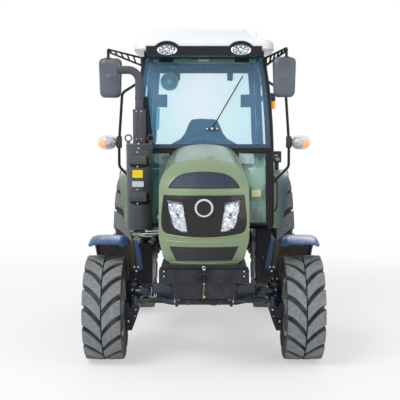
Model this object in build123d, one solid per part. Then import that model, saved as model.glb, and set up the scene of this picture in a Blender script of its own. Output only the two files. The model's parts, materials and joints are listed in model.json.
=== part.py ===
"""Compact farm tractor with cab: four driven wheels, tilting hood, side doors and rear three-point hitch.

Frame: +Z up, ground at z = 0, front towards -Y, origin midway along the length. Millimetres.
"left" is the driver's left, which is +X.
"""

from build123d import *
import math
import os

# ---------------------------------------------------------------- driving dimensions
FRONT_OVERHANG = 640.0
WHEELBASE = 2000.0
REAR_OVERHANG = 860.0
LENGTH = FRONT_OVERHANG + WHEELBASE + REAR_OVERHANG
Y_FRONT = FRONT_OVERHANG - LENGTH / 2  # front axle line
Y_REAR = Y_FRONT + WHEELBASE  # rear axle line

FIT = 0.3  # gap between a moving piece and its seat
RUN = 5.0  # open clearance between moving pieces

# wheel sizes: radius over the lugs, overall width, rim seat radius, rim width, wheel centre x
FRONT_TYRE = {"radius": 399.0, "width": 280.0, "seat": 203.0, "rim": 228.0, "x": 750.0, "lug": 28.0}
REAR_TYRE = {"radius": 655.0, "width": 345.0, "seat": 356.0, "rim": 290.0, "x": 667.5, "lug": 38.0}
HUB_RADIUS = 62.0
RIM_WALL = 10.0
FRONT_LUGS, REAR_LUGS = 16, 18  # lugs on each half of the tread, and flat facets round the carcass
LUG_ROOT = 30.0  # depth of a lug's root in the carcass
DRIVE_X0, DRIVE_X1 = 492.0, 606.0  # final drive housing, inner and outer
AXLE_X1 = 470.0  # outer end of the rear axle trumpet

# front axle, kingpins and steering
KINGPIN_X = 545.0
KINGPIN_SLEEVE_R = 54.0
BEAM_Z0, BEAM_Z1 = 425.0, 590.0
DRIVE_Z0, DRIVE_Z1 = 228.0, 446.0  # final drive housing, below the sleeve
STEER_ARM = 150.0  # kingpin to tie pin, forwards
STEER_PIN_IN = 25.0  # tie pin inboard of the kingpin
ARM_Z0, ARM_Z1 = 424.0, 446.0
ROD_Z = 478.0
ROD_R = 14.0
EYE_R = 26.0

# front mudguard
GUARD_R = FRONT_TYRE["radius"] + 152.0
GUARD_X, GUARD_HALF = FRONT_TYRE["x"] - 24.0, 139.0
GUARD_WALL = 8.0
GUARD_LIP = 34.0
GUARD_POST_Z = FRONT_TYRE["radius"] + 401.0
GUARD_START, GUARD_END = 20.0, 112.0  # degrees up from the rear horizontal

# hood
HOOD_HALF = 322.0
HOOD_BOTTOM = 806.0
HOOD_TOP_REAR = 1640.0
HOOD_TOP_FRONT = 1520.0
HOOD_WALL = 14.0
NOSE_Y = Y_FRONT - 560.0
HOOD_REAR_Y = Y_FRONT + 880.0
NOSE_SWEEP_R = 640.0  # plan radius of the nose face
HOOD_HINGE_Y, HOOD_HINGE_Z = HOOD_REAR_Y - 20.0, 1580.0

# cab
CAB_FLOOR_Z0, CAB_FLOOR_Z1 = 905.0, 945.0
CAB_BASE_HALF = 600.0  # outer half width at the floor
CAB_TOP_HALF = 522.0  # outer half width under the roof
CAB_TOP_Z = 2410.0
PILLAR = 52.0
A_Y0, A_Y1 = Y_FRONT + 925.0, Y_FRONT + 1055.0  # A pillar at the floor and under the roof
B_Y = Y_FRONT + 1690.0
C_Y = Y_FRONT + 2215.0
SILL_Z = 1605.0  # top of the bar under the windscreen
GLASS = 6.0
DOOR_THICK = 36.0
DOOR_GAP = 6.0
ROOF_HALF = 600.0
ROOF_Z0, ROOF_Z1, ROOF_Z2 = CAB_TOP_Z, 2545.0, 2645.0
ROOF_Y0, ROOF_Y1 = Y_FRONT + 800.0, Y_FRONT + 2330.0
SEAT_DECK_Z = 1075.0
SIDE_DEEP = 52.0  # thickness of the cab's side walls and pillars
A_DEEP = 62.0  # A pillar, front to back
HEADER = 58.0
REAR_TOP_Y, REAR_LOW_Y = C_Y - 10.0, C_Y + 30.0
REAR_LOW_Z = 1300.0
HINGE_HEIGHTS = (1480.0, 2180.0)
HINGE_OUT = 12.0
HINGE_R = 9.0
VISOR_HALF = 490.0
VISOR_Z0 = CAB_TOP_Z - 22.0
WORK_LAMP_X, WORK_LAMP_Z = 312.0, 2436.0

# rear fender
WHEEL_Z = REAR_TYRE["radius"]
FENDER_R = WHEEL_Z + 69.0
FENDER_WALL = 14.0
FENDER_X0, FENDER_X1 = 452.0, 830.0
FENDER_LOW_X = 708.0  # outer edge where the fender ends at the front
FENDER_START, FENDER_END = 25.0, 163.0  # degrees up from the rear horizontal

# exhaust
STACK_X, STACK_Y = -525.0, Y_FRONT + 455.0
CAN_R, CAN_Z0, CAN_Z1 = 107.0, 955.0, 1640.0
SHIELD_R, SHIELD_Z1 = 53.0, 1925.0
PIPE_R, PIPE_TOP_Z = 33.0, 2245.0

# controls
WHEEL_HUB = (0.0, 215.0, 1585.0)
WHEEL_RIM_R = 190.0
WHEEL_TILT = 32.0  # degrees from level

# mirrors, lamp rails and turn lamps
MIRROR_ARM = 330.0
MIRROR_ROOT_Y = -62.0
MIRROR_SWING = {"left": 62.0, "right": 32.0}  # degrees forward of straight out
RAIL_R = 12.0
RAIL_Y = -192.0
LAMP_Z = 1656.0
LAMP_X0, LAMP_X1 = 757.0, 930.0

# front plate
PLATE_Y0 = Y_FRONT - 612.0
PLATE_Z0, PLATE_Z1 = 690.0, 784.0
PLATE_HALF = 315.0
APRON_HALF, APRON_Z0 = 222.0, 580.0
PLATE_HOLE_X, PLATE_HOLE_DZ, PLATE_HOLE_R = 280.0, 34.0, 6.5

# hitch
ROCK_Y, ROCK_Z = Y_REAR + 175.0, 950.0
LIFT_ARM = 260.0
LINK_PIN_Y, LINK_PIN_Z = Y_REAR + 90.0, 500.0
LINK_END_Y, LINK_END_Z = Y_REAR + REAR_OVERHANG - 28.0, 470.0
LINK_X0, LINK_X1 = 238.0, 360.0
PTO_R, PTO_Z = 17.5, 560.0
LIFT_ARM_X = 238.0
LIFT_TIP = (ROCK_Y + 258.0, ROCK_Z + 32.0)
LINK_HOLE_R = 11.2
DRAWBAR_Z0, DRAWBAR_Z1 = 372.0, 402.0
DRAWBAR_HOLE_Y = Y_REAR + 520.0
TOP_PIN_Y, TOP_PIN_Z = Y_REAR + 275.0, 790.0
TOP_LINK = 560.0  # pin to pin, standing

os.makedirs("parts", exist_ok=True)
NODES = {}


# ---------------------------------------------------------------- shape helpers
def block(x0, x1, y0, y1, z0, z1):
    """Box between two corners."""
    return Pos((x0 + x1) / 2, (y0 + y1) / 2, (z0 + z1) / 2) * Box(abs(x1 - x0), abs(y1 - y0), abs(z1 - z0))


def across(points, x0, x1):
    """Outline of (y, z) points, extruded along X."""
    face = make_face(Polyline(*points, close=True))
    return extrude(Plane(origin=(x0, 0, 0), x_dir=(0, 1, 0), z_dir=(1, 0, 0)) * face, x1 - x0)


def along(points, y0, y1):
    """Outline of (x, z) points, extruded along Y."""
    face = make_face(Polyline(*points, close=True))
    return extrude(Plane(origin=(0, y1, 0), x_dir=(1, 0, 0), z_dir=(0, -1, 0)) * face, y1 - y0)


def upright(points, z0, z1):
    """Outline of (x, y) points, extruded along Z."""
    face = make_face(Polyline(*points, close=True))
    return extrude(Plane(origin=(0, 0, z0)) * face, z1 - z0)


def bar(start, end, width, depth):
    """Straight rectangular bar between two points; width is along X where the bar is upright."""
    a, b = Vector(*start), Vector(*end)
    run = b - a
    side = Vector(1, 0, 0) if abs(run.normalized().X) < 0.8 else Vector(0, 1, 0)
    side = (side - run.normalized() * side.dot(run.normalized())).normalized()
    return extrude(Plane(origin=a, x_dir=side, z_dir=run) * Rectangle(width, depth), run.length)


def rod(start, end, radius):
    """Round bar between two points."""
    a, b = Vector(*start), Vector(*end)
    return extrude(Plane(origin=a, z_dir=b - a) * Circle(radius), (b - a).length)


def bent(points, radius, bend):
    """Round tube along straight runs joined by arcs of one radius."""
    path = FilletPolyline(*points, radius=bend)
    start = Plane(origin=path @ 0, z_dir=path % 0)
    return sweep(start * Circle(radius), path=path)


def spun(points, x, y, z, start=0.0, arc=360.0):
    """Outline of (x offset, radius) points about a line along X, start degrees up from the rear."""
    a = math.radians(start)
    plane = Plane(origin=(x, y, z), x_dir=(1, 0, 0), z_dir=(0, -math.sin(a), math.cos(a)))
    face = make_face(Polyline(*points, close=True))
    return revolve(plane * face, Axis((x, y, z), (1, 0, 0)), arc)


def both(shape):
    """A shape and its mirror image across the centre plane."""
    return shape + mirror(shape, Plane.YZ)


def node(name, shape):
    NODES[name] = shape


def cab_half(z):
    """Outer half width of the cab's side plane at a height."""
    share = (z - CAB_FLOOR_Z1) / (CAB_TOP_Z - CAB_FLOOR_Z1)
    return CAB_BASE_HALF + (CAB_TOP_HALF - CAB_BASE_HALF) * share


def a_pillar_y(z):
    """Y of the A pillar's centre at a height."""
    return A_Y0 + (A_Y1 - A_Y0) * (z - CAB_FLOOR_Z1) / (CAB_TOP_Z - CAB_FLOOR_Z1)


# ---------------------------------------------------------------- wheels
def facet_ring(points, flats, x, y, z):
    """Outline of (x offset, radius) points carried round a line along X in flat facets."""

    def corner(point, k):
        turn = math.tau * k / flats
        return (x + point[0], y + point[1] * math.sin(turn), z + point[1] * math.cos(turn))

    faces = []
    for k in range(flats):
        for a, b in zip(points, points[1:] + points[:1]):
            ring = [corner(a, k), corner(b, k), corner(b, k + 1), corner(a, k + 1)]
            faces.append(Face(Wire.make_polygon(ring)))
    return Solid(Shell(faces))


def lug_bar(size, side, half, y, turn, ends):
    """One lug as a straight bar. ends are its shoulder and its tip as (x, arc, half thickness), and turn
    is its place in radians forward of the top. Its top corners lie on the tyre's radius."""
    r, base = size["radius"], size["radius"] - size["lug"] - LUG_ROOT
    spread = [arc + sign * thick for x, arc, thick in ends for sign in (-1, 1)]
    mid = (min(spread) + max(spread)) / 2
    place = -(turn + mid / r)
    normal = (0, math.sin(place), math.cos(place))
    plane = Plane(
        origin=(side * size["x"], y + base * normal[1], r + base * normal[2]),
        x_dir=(1, 0, 0),
        z_dir=normal,
    )
    corners = []
    for (x, arc, thick), signs in zip(ends, ((-1, 1), (1, -1))):
        for sign in signs:
            corners.append((side * half * x, -r * math.sin((arc + sign * thick - mid) / r)))
    height = r * math.cos((max(spread) - mid) / r) - base
    return extrude(plane * make_face(Polyline(*corners, close=True)), height)


def tyre(size, lugs, side, y):
    """Carcass in flat facets with swept lugs on each half of the tread, as one solid."""
    w, r, seat, rim = size["width"] / 2, size["radius"], size["seat"], size["rim"] / 2
    tread = r - size["lug"]
    clear = 1 / math.cos(math.pi / lugs)  # keeps the middle of each flat off the round rim
    outer = [(rim, (seat + 22) * clear), (w, (seat + r) / 2), (w - 14, tread - 30), (w - 44, tread)]
    outline = [(-rim, seat * clear), (rim, seat * clear), *outer, *[(-a, b) for a, b in reversed(outer)]]
    shoulder, tip = (w, 0, 0.15 * w), (-6, 0.93 * w, 0.17 * w)
    lowest = math.pi - (tip[1] + tip[2]) / r  # puts one tip corner at the tyre's lowest point
    bars = []
    for half, shift in ((1, 0), (-1, 0.5)):
        for k in range(lugs):
            turn = lowest + math.tau * (k + shift) / lugs
            bars.append(lug_bar(size, side, half, y, turn, (shoulder, tip)))
    return facet_ring(outline, lugs, side * size["x"], y, r).fuse(*bars)


def wheel_disc(size, side, y, disc_x, hub_x):
    """Rim, dished disc and drive hub; disc_x and hub_x are distances from the centre plane."""
    seat, rim = size["seat"], size["rim"] / 2
    flange = seat + 18
    outline = [
        (-rim, seat),
        (-rim, seat - RIM_WALL),
        (rim, seat - RIM_WALL),
        (rim, seat),
    ]
    barrel = spun(outline, side * size["x"], y, size["radius"])
    for edge in (-1, 1):
        lip = [(edge * rim, seat - RIM_WALL), (edge * rim, flange), (edge * (rim + 9), flange)]
        lip.append((edge * (rim + 9), seat - RIM_WALL))
        barrel += spun(lip, side * size["x"], y, size["radius"])
    d = side * disc_x
    plate_r = seat * 0.62
    centre = spun([(0, 0), (12 * side, 0), (12 * side, plate_r), (0, plate_r)], d, y, size["radius"])
    dish = spun(
        [
            (0, seat * 0.60),
            (12 * side, seat * 0.60),
            (52 * side, seat - RIM_WALL),
            (40 * side, seat - RIM_WALL),
        ],
        d,
        y,
        size["radius"],
    )
    z = size["radius"]
    hub = rod((side * hub_x, y, z), (side * (disc_x + 34), y, z), HUB_RADIUS)
    return barrel + centre + dish + hub


def make_wheels():
    for end, size, lugs, y, disc_x, hub_x in (
        ("front", FRONT_TYRE, FRONT_LUGS, Y_FRONT, 722.0, DRIVE_X1 + FIT),
        ("rear", REAR_TYRE, REAR_LUGS, Y_REAR, 628.0, AXLE_X1 + FIT),
    ):
        for name, side in (("left", 1), ("right", -1)):
            node(f"tyre_{end}_{name}", tyre(size, lugs, side, y))
            node(f"rim_{end}_{name}", wheel_disc(size, side, y, disc_x, hub_x))


# ---------------------------------------------------------------- front axle
def make_axle_beam():
    z = (BEAM_Z0 + BEAM_Z1) / 2
    outline = [
        (-470, BEAM_Z0 + 45),
        (-250, BEAM_Z0),
        (250, BEAM_Z0),
        (470, BEAM_Z0 + 45),
        (470, BEAM_Z1 - 20),
        (200, BEAM_Z1 - 10),
        (120, BEAM_Z1),
        (-120, BEAM_Z1),
        (-200, BEAM_Z1 - 10),
        (-470, BEAM_Z1 - 20),
    ]
    beam = along(outline, Y_FRONT - 58, Y_FRONT + 58)
    beam += rod((75, Y_FRONT - 40, z), (75, Y_FRONT + 150, z), 92)
    for side in (1, -1):
        x = side * KINGPIN_X
        beam += rod((x, Y_FRONT, DRIVE_Z1 + FIT), (x, Y_FRONT, BEAM_Z1 + 8), KINGPIN_SLEEVE_R)
        beam += rod((x, Y_FRONT, BEAM_Z1), (x, Y_FRONT, BEAM_Z1 + 26), 34)
        beam += block(side * 430, side * KINGPIN_X, Y_FRONT - 44, Y_FRONT + 44, BEAM_Z0 + 45, BEAM_Z1 - 20)
    node("axle_beam", beam)


def make_final_drive(name, side):
    """Housing below the kingpin sleeve with the steering arm and the mudguard's post."""
    outline = [
        (side * 500, DRIVE_Z1),
        (side * DRIVE_X1, DRIVE_Z1),
        (side * DRIVE_X1, DRIVE_Z0),
        (side * 552, DRIVE_Z0),
        (side * 528, 290),
        (side * DRIVE_X0, 400),
    ]
    z = FRONT_TYRE["radius"]
    body = along(outline, Y_FRONT - 62, Y_FRONT + 62)
    body += rod((side * 535, Y_FRONT, z), (side * DRIVE_X1, Y_FRONT, z), 104)
    body -= block(side * 480, side * 620, Y_FRONT - 120, Y_FRONT + 120, DRIVE_Z1, 560)
    arm = [
        (side * (KINGPIN_X - 45), Y_FRONT - 40),
        (side * (KINGPIN_X + 40), Y_FRONT - 40),
        (side * (KINGPIN_X - STEER_PIN_IN + 24), Y_FRONT - STEER_ARM - 24),
        (side * (KINGPIN_X - STEER_PIN_IN - 24), Y_FRONT - STEER_ARM - 24),
    ]
    body += upright(arm, ARM_Z0, ARM_Z1)
    post_y = Y_FRONT + KINGPIN_SLEEVE_R + 26
    body += block(side * 528, side * 592, post_y - 34, post_y + 14, ARM_Z0 - 60, ARM_Z1)
    body += bar((side * 568, post_y, ARM_Z1 - 10), (side * 560, post_y + 40, GUARD_POST_Z), 48, 16)
    node(f"final_drive_{name}", body)


def make_front_guard(name, side):
    """Crowned, arched mudguard over the front tyre with its stay."""
    w, r, wall = GUARD_HALF, GUARD_R, GUARD_WALL
    crown = [(w, r - 30), (w - 16, r - 13), (w - 48, r - 3), (w - 90, r)]
    under = [(w - 88, r - wall), (w - 50, r - wall - 3), (w - 22, r - wall - 12), (w - wall, r - 34)]
    outline = [(w, r - GUARD_LIP - 12), *crown, *[(-a, b) for a, b in reversed(crown)]]
    outline += [(-w, r - GUARD_LIP - 12), (wall - w, r - GUARD_LIP - 12)]
    outline += [(-a, b) for a, b in reversed(under)] + under + [(w - wall, r - GUARD_LIP - 12)]
    x, z = side * GUARD_X, FRONT_TYRE["radius"]
    guard = spun(outline, x, Y_FRONT, z, GUARD_START, GUARD_END - GUARD_START)
    reach = KINGPIN_SLEEVE_R + 66
    post_y = Y_FRONT + reach
    inner = x - side * (w - 2)
    top = z + math.sqrt((r - GUARD_LIP - 12) ** 2 - reach**2) + 8
    stay = block(side * 536, side * 584, post_y + 8, post_y + 20, GUARD_POST_Z - 60, top)
    stay += block(side * 536, inner + side * 3, post_y - 20, post_y + 20, top - 12, top)
    node(f"front_guard_{name}", guard + stay)


def make_steering():
    y = Y_FRONT - STEER_ARM
    barrel = rod((-215, y, ROD_Z), (215, y, ROD_Z), 34)
    for x in (-215, 193):
        barrel += block(x, x + 22, y - 40, y + 40, ROD_Z - 40, ROD_Z + 40)
    for x in (-150, 110):
        barrel += block(x, x + 40, y, Y_FRONT - 58, ROD_Z - 16, ROD_Z + 30)
    barrel -= rod((-230, y, ROD_Z), (230, y, ROD_Z), ROD_R + FIT)
    node("steering_cylinder", barrel)
    pin_x = KINGPIN_X - STEER_PIN_IN
    shaft = rod((-pin_x, y, ROD_Z), (pin_x, y, ROD_Z), ROD_R)
    for side in (1, -1):
        shaft += rod((side * pin_x, y, ARM_Z1 + FIT), (side * pin_x, y, ROD_Z + 26), EYE_R)
    node("steering_rod", shaft)


# ---------------------------------------------------------------- frame, engine and driveline
def make_front_support():
    side = [
        (Y_FRONT - 590, 600),
        (Y_FRONT - 420, 610),
        (Y_FRONT - 300, 625),
        (Y_FRONT + 110, 625),
        (Y_FRONT + 110, 770),
        (Y_FRONT - 590, 770),
    ]
    body = across(side, -165, 165)
    body -= block(-125, 125, Y_FRONT - 500, Y_FRONT + 60, 650, 780)
    for y0, y1 in ((Y_FRONT - 104, Y_FRONT - 58), (Y_FRONT + 150, Y_FRONT + 205)):
        body += block(-100, 100, y0, y1, 510, 640)
    body += block(-165, 165, Y_FRONT + 100, Y_FRONT + 205, 625, 770)
    body += block(-300, 300, Y_FRONT - 560, Y_FRONT - 100, 784, 806)
    body += block(-165, 165, Y_FRONT - 560, Y_FRONT - 520, 760, 790)
    body += block(-165, 165, Y_FRONT - 220, Y_FRONT - 180, 760, 790)
    node("front_support", body)


def make_front_plate():
    y0 = PLATE_Y0
    plate = block(-PLATE_HALF, PLATE_HALF, y0, y0 + 16, PLATE_Z0, PLATE_Z1)
    for x in (-PLATE_HOLE_X, PLATE_HOLE_X):
        for dz in (-PLATE_HOLE_DZ / 2, PLATE_HOLE_DZ / 2):
            z = (PLATE_Z0 + PLATE_Z1) / 2 + 17 + dz
            plate -= rod((x, y0 - 5, z), (x, y0 + 30, z), PLATE_HOLE_R)
    plate += block(-APRON_HALF, APRON_HALF, y0 + 6, y0 + 22, APRON_Z0, PLATE_Z0)
    clevis = across([(y0, 700), (y0, 770), (y0 - 28, 764), (y0 - 28, 740)], -38, 38)
    clevis -= block(-24, 24, y0 - 60, y0, 712, 752)
    clevis += rod((0, y0 - 14, 690), (0, y0 - 14, 786), 9)
    node("front_plate", plate + clevis)


def make_engine():
    y = Y_FRONT
    body = block(-150, 150, y + 205, y + 640, 520, 640)
    body += block(-205, 205, y + 205, y + 640, 640, 900)
    body += block(-165, 165, y + 120, y + 640, 900, 1120)
    body += block(-120, 120, y + 150, y + 600, 1120, 1200)
    body += rod((0, y + 60, 930), (0, y + 125, 930), 70)
    body += block(165, 235, y + 220, y + 560, 960, 1060)
    body += block(-230, -165, y + 240, y + 540, 1000, 1080)
    body += rod((0, y + 10, 930), (0, y + 65, 930), 12) + block(-150, 150, y - 2, y + 14, 780, 1080)
    radiator = block(-270, 270, y - 190, y - 110, 870, 1330) + block(-200, 200, y - 190, y - 110, 806, 870)
    radiator += block(-200, 200, y - 110, y - 50, 860, 1260)
    node("engine", body)
    node("radiator", radiator)


def make_gearbox():
    y, r = Y_FRONT, Y_REAR
    side_view = [(y + 640, 560), (y + 640, 880), (y + 900, 860)]
    side_view += [(r - 260, 860), (r - 260, 500), (y + 900, 500)]
    body = across(side_view, -170, 170)
    body += block(-215, 215, r - 260, r + 150, 440, 880)
    body += block(-150, 150, r - 120, r + 120, 880, 930)
    body += rod((0, r + 150, PTO_Z), (0, r + 175, PTO_Z), 70)
    body += block(-225, 225, r + 90, r + 150, 880, 960)
    body += rod((0, r + 175, PTO_Z), (0, r + 260, PTO_Z), PTO_R)
    for side in (1, -1):
        body += block(side * 150, side * 205, ROCK_Y - 85, ROCK_Y + 48, 880, ROCK_Z + 48)
        pin_x = side * (LINK_X0 + 14)
        body += rod((side * 215, LINK_PIN_Y, LINK_PIN_Z), (pin_x, LINK_PIN_Y, LINK_PIN_Z), 14)
    body -= rod((-300, ROCK_Y, ROCK_Z), (300, ROCK_Y, ROCK_Z), 30 + FIT)
    for side in (1, -1):
        trumpet = rod((side * 215, r, WHEEL_Z), (side * 300, r, WHEEL_Z), 130)
        trumpet += rod((side * 300, r, WHEEL_Z), (side * AXLE_X1, r, WHEEL_Z), 88)
        trumpet += rod((side * (AXLE_X1 - 22), r, WHEEL_Z), (side * AXLE_X1, r, WHEEL_Z), 120)
        body += trumpet
    node("gearbox", body)


# ---------------------------------------------------------------- hood
MASK_Z0, MASK_Z1 = 1004.0, 1294.0
GRILLE_Z0, GRILLE_Z1 = 1342.0, 1459.0
INLET_Z0, INLET_Z1 = 838.0, 932.0
BADGE_Z, BADGE_R = 1209.0, 65.0
LAMP_OUTLINE = ((263, 1265), (149, 1246), (114, 1038), (162, 1040), (211, 1064), (238, 1110), (254, 1190))
VENT_OUTLINE = (
    (NOSE_Y + 330, 1030),
    (NOSE_Y + 300, 1210),
    (NOSE_Y + 960, 1260),
    (NOSE_Y + 960, 1085),
    (NOSE_Y + 560, 1055),
)


def hood_section(y, top, inset):
    """Arch across the hood at one station, drawn in from the outer skin by the inset."""
    half = HOOD_HALF - inset
    low = HOOD_BOTTOM - (60 if inset else 0)
    top -= inset
    side = [(half, top - 200), (half, HOOD_BOTTOM + 180), (half - 32, HOOD_BOTTOM + 45), (half - 84, low)]
    arch = [
        *Polyline(*[(-x, z) for x, z in reversed(side)]).edges(),
        ThreePointArc((-half, top - 200), (54 - half, top - 70), (132 - half, top - 24)),
        ThreePointArc((132 - half, top - 24), (0, top), (half - 132, top - 24)),
        ThreePointArc((half - 132, top - 24), (half - 54, top - 70), (half, top - 200)),
        *Polyline(*side).edges(),
        Line(side[-1], (-side[-1][0], low)),
    ]
    return Plane(origin=(0, y, 0), x_dir=(1, 0, 0), z_dir=(0, -1, 0)) * make_face(arch)


def hood_solid(inset=0.0):
    """Outer form of the hood, or its cavity where the inset is the wall."""
    rear = HOOD_REAR_Y + (30 if inset else 0)
    low = HOOD_BOTTOM - (60 if inset else 0)
    front = hood_section(NOSE_Y - 20, HOOD_TOP_FRONT, inset)
    body = loft([front, hood_section(rear, HOOD_TOP_REAR, inset)], ruled=True)
    r = NOSE_SWEEP_R - inset
    lift = -inset * 0.8
    profile = [
        Line((0, low), (r - 22, low)),
        ThreePointArc((r - 22, low), (r, 985), (r - 48, 1300)),
        ThreePointArc((r - 48, 1300), (r - 112, 1435 + lift), (r - 260, 1540 + lift)),
        Line((r - 260, 1540 + lift), (0, 1700)),
        Line((0, 1700), (0, low)),
    ]
    centre = NOSE_Y + NOSE_SWEEP_R
    plane = Plane(origin=(0, centre, 0), x_dir=(1, 0, 0), z_dir=(0, -1, 0))
    nose = revolve(plane * make_face(profile), Axis((0, centre, 0), (0, 0, 1)), 360)
    nose += block(-400, 400, centre, rear + 20, low, 1700)
    return body & nose


def forward(face):
    """Front view outline carried through the nose."""
    return extrude(Plane(origin=(0, NOSE_Y + 330, 0), x_dir=(1, 0, 0), z_dir=(0, -1, 0)) * face, 400)


def mask_outline():
    low = MASK_Z0 + 22
    side = [(266, low), (290, low + 16), (304, low + 60), (304, low + 130), (289, MASK_Z1)]
    bottom = ThreePointArc((-266, low), (0, MASK_Z0), (266, low))
    return make_face([bottom, *Polyline(*side, *[(-x, z) for x, z in reversed(side)]).edges()])


def grille_outline():
    z = GRILLE_Z1
    left = ThreePointArc((-258, GRILLE_Z0), (-205, z - 45), (-110, z - 8))
    crown = ThreePointArc((-110, z - 8), (0, z), (110, z - 8))
    right = ThreePointArc((110, z - 8), (205, z - 45), (258, GRILLE_Z0))
    return make_face([left, crown, right, Line((258, GRILLE_Z0), (-258, GRILLE_Z0))])


def make_hood():
    outer = hood_solid()
    shell = outer - hood_solid(HOOD_WALL)
    rear = HOOD_REAR_Y + 60
    low_cut = [(NOSE_Y + 400, 700), (NOSE_Y + 430, HOOD_BOTTOM + 12), (NOSE_Y + 575, 985)]
    low_cut += [(rear, 1015), (rear, 700)]
    shell -= across(low_cut, -500, 500)
    mask = forward(mask_outline())
    lamps = both(forward(make_face(Polyline(*LAMP_OUTLINE, close=True))))
    corners = [(-243, INLET_Z1), (243, INLET_Z1), (196, INLET_Z0), (-196, INLET_Z0)]
    inlet = make_face(Polyline(*corners, close=True))
    vents = both(across(VENT_OUTLINE, HOOD_HALF - 100, HOOD_HALF + 20))
    grilles = forward(grille_outline()) + forward(inlet) + vents
    panel = shell - mask - grilles
    for side in (1, -1):
        x0, x1 = side * 90, side * 130
        knuckle = block(x0, x1, HOOD_HINGE_Y - 8, HOOD_HINGE_Y + 8, HOOD_HINGE_Z - 12, HOOD_TOP_REAR)
        knuckle += rod((x0, HOOD_HINGE_Y, HOOD_HINGE_Z), (x1, HOOD_HINGE_Y, HOOD_HINGE_Z), 12)
        knuckle &= outer
        pin = rod((x0 - side, HOOD_HINGE_Y, HOOD_HINGE_Z), (x1 + side, HOOD_HINGE_Y, HOOD_HINGE_Z), 6 + FIT)
        panel += knuckle - pin
    node("hood", panel)
    node("hood_grilles", shell & grilles)
    badge = rod((0, NOSE_Y + 80, BADGE_Z - 14), (0, NOSE_Y + 10, BADGE_Z), BADGE_R)
    node("nose_mask", (shell & mask) - lamps + (badge - outer))
    node("headlamps", shell & lamps)


# ---------------------------------------------------------------- exhaust
def make_exhaust():
    x, y = STACK_X, STACK_Y
    front = y - CAN_R
    can = rod((x, y, CAN_Z0), (x, y, CAN_Z1), CAN_R)
    can += rod((x, y, CAN_Z1), (x, y, SHIELD_Z1), SHIELD_R)
    for z0, z1 in ((1188, 1264), (1487, 1557)):
        can += block(x - 76, x + 62, front - 14, y - 60, z0, z1)
    for x0, x1, z0, z1 in ((-54, 43, 1301, 1351), (-51, 36, 1374, 1441)):
        can += block(x + x0, x + x1, front - 3, y - 60, z0, z1)
    for dx in (-90, 90):
        can += Pos(x + dx, y, CAN_Z1 + 54) * Rot(90, 0, 0) * Torus(26, 6)
        can += block(x + dx - 14, x + dx + 14, y - 6, y + 6, CAN_Z1 - 10, CAN_Z1 + 34)
    plate = [(x + 18, CAN_Z1 - 4), (x + 112, CAN_Z1 - 4), (x + 66, 2030), (x + 28, 2030)]
    can += along(plate, y + 62, y + 68)
    can += rod((-165, y, 936), (x, y, 936), 34) + rod((x, y, 896), (x, y, CAN_Z0), 46)
    can += block(x - 60, x + 60, y - 60, face_y(930), 930, CAN_Z0)
    node("silencer", can)
    tail = (x - 176, y - 30, PIPE_TOP_Z - 4)
    pipe = bent([(x, y, SHIELD_Z1), (x, y, PIPE_TOP_Z), tail], PIPE_R, 90)
    pipe += rod((x, y, 2012), (x, y, 2022), PIPE_R + 3)
    mouth = Vector(x, y, PIPE_TOP_Z) - Vector(*tail)
    bore = Plane(origin=Vector(*tail) - mouth.normalized() * 2, z_dir=mouth) * Circle(PIPE_R - 3)
    node("exhaust_pipe", pipe - extrude(bore, 62))


# ---------------------------------------------------------------- cab
def face_y(z):
    """Y of the plane the windscreen lies on."""
    return A_Y0 - 31 + (A_Y1 - A_Y0) * (z - CAB_FLOOR_Z1) / (CAB_TOP_Z - CAB_FLOOR_Z1)


def rear_y(z):
    """Y of the cab's rear plane."""
    return REAR_LOW_Y + (REAR_TOP_Y - REAR_LOW_Y) * (z - REAR_LOW_Z) / (CAB_TOP_Z - REAR_LOW_Z)


def front_strip(z0, z1, depth, half0, half1, skin=0.0):
    """Member lying on the windscreen plane; skin moves it in front of the plane."""
    outline = [
        (face_y(z0) - skin, z0),
        (face_y(z0) - skin + depth, z0),
        (face_y(z1) - skin + depth, z1),
        (face_y(z1) - skin, z1),
    ]
    front = along([(-half0, z0), (half0, z0), (half1, z1), (-half1, z1)], -500, 500)
    return across(outline, -700, 700) & front


def rear_strip(z0, z1, depth, half0, half1, skin=0.0):
    """Member lying on the cab's rear plane; skin moves it behind the plane."""
    outline = [
        (rear_y(z0) + skin, z0),
        (rear_y(z0) + skin - depth, z0),
        (rear_y(z1) + skin - depth, z1),
        (rear_y(z1) + skin, z1),
    ]
    front = along([(-half0, z0), (half0, z0), (half1, z1), (-half1, z1)], 700, 1400)
    return across(outline, -700, 700) & front


def side_sheet(side, face, inset0, inset1):
    """Outline face of (y, z) points cut from a layer of the cab's side plane."""
    z0, z1 = 860, 2430
    a0, a1 = cab_half(z0), cab_half(z1)
    layer = [
        (side * (a0 - inset0), z0),
        (side * (a1 - inset0), z1),
        (side * (a1 - inset1), z1),
        (side * (a0 - inset1), z0),
    ]
    prism = extrude(Plane(origin=(side * 400, 0, 0), x_dir=(0, 1, 0), z_dir=(1, 0, 0)) * face, side * 300)
    return along(layer, -400, 1400) & prism


def fender_drum():
    """Cylinder over both rear fenders."""
    return rod((-900, Y_REAR, WHEEL_Z), (900, Y_REAR, WHEEL_Z), FENDER_R)


def door_face():
    z0, z1 = CAB_FLOOR_Z1 + DOOR_GAP, CAB_TOP_Z - HEADER - DOOR_GAP
    gap = A_DEEP + DOOR_GAP
    outline = [
        (face_y(z0) + gap, z0),
        (B_Y - 420, z0),
        (B_Y - 380, 990),
        (B_Y - 300, 1130),
        (B_Y - 250, 1240),
        (B_Y - 220, 1310),
        (B_Y - DOOR_GAP, 1330),
        (B_Y - DOOR_GAP, z1),
        (face_y(z1) + gap, z1),
    ]
    return make_face(Polyline(*outline, close=True))


def quarter_face():
    z0, z1 = 1415, CAB_TOP_Z - HEADER
    outline = [(B_Y + 60, z0), (rear_y(z0) - 60, z0), (rear_y(z1) - 60, z1), (B_Y + 60, z1)]
    return make_face(Polyline(*outline, close=True))


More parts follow.
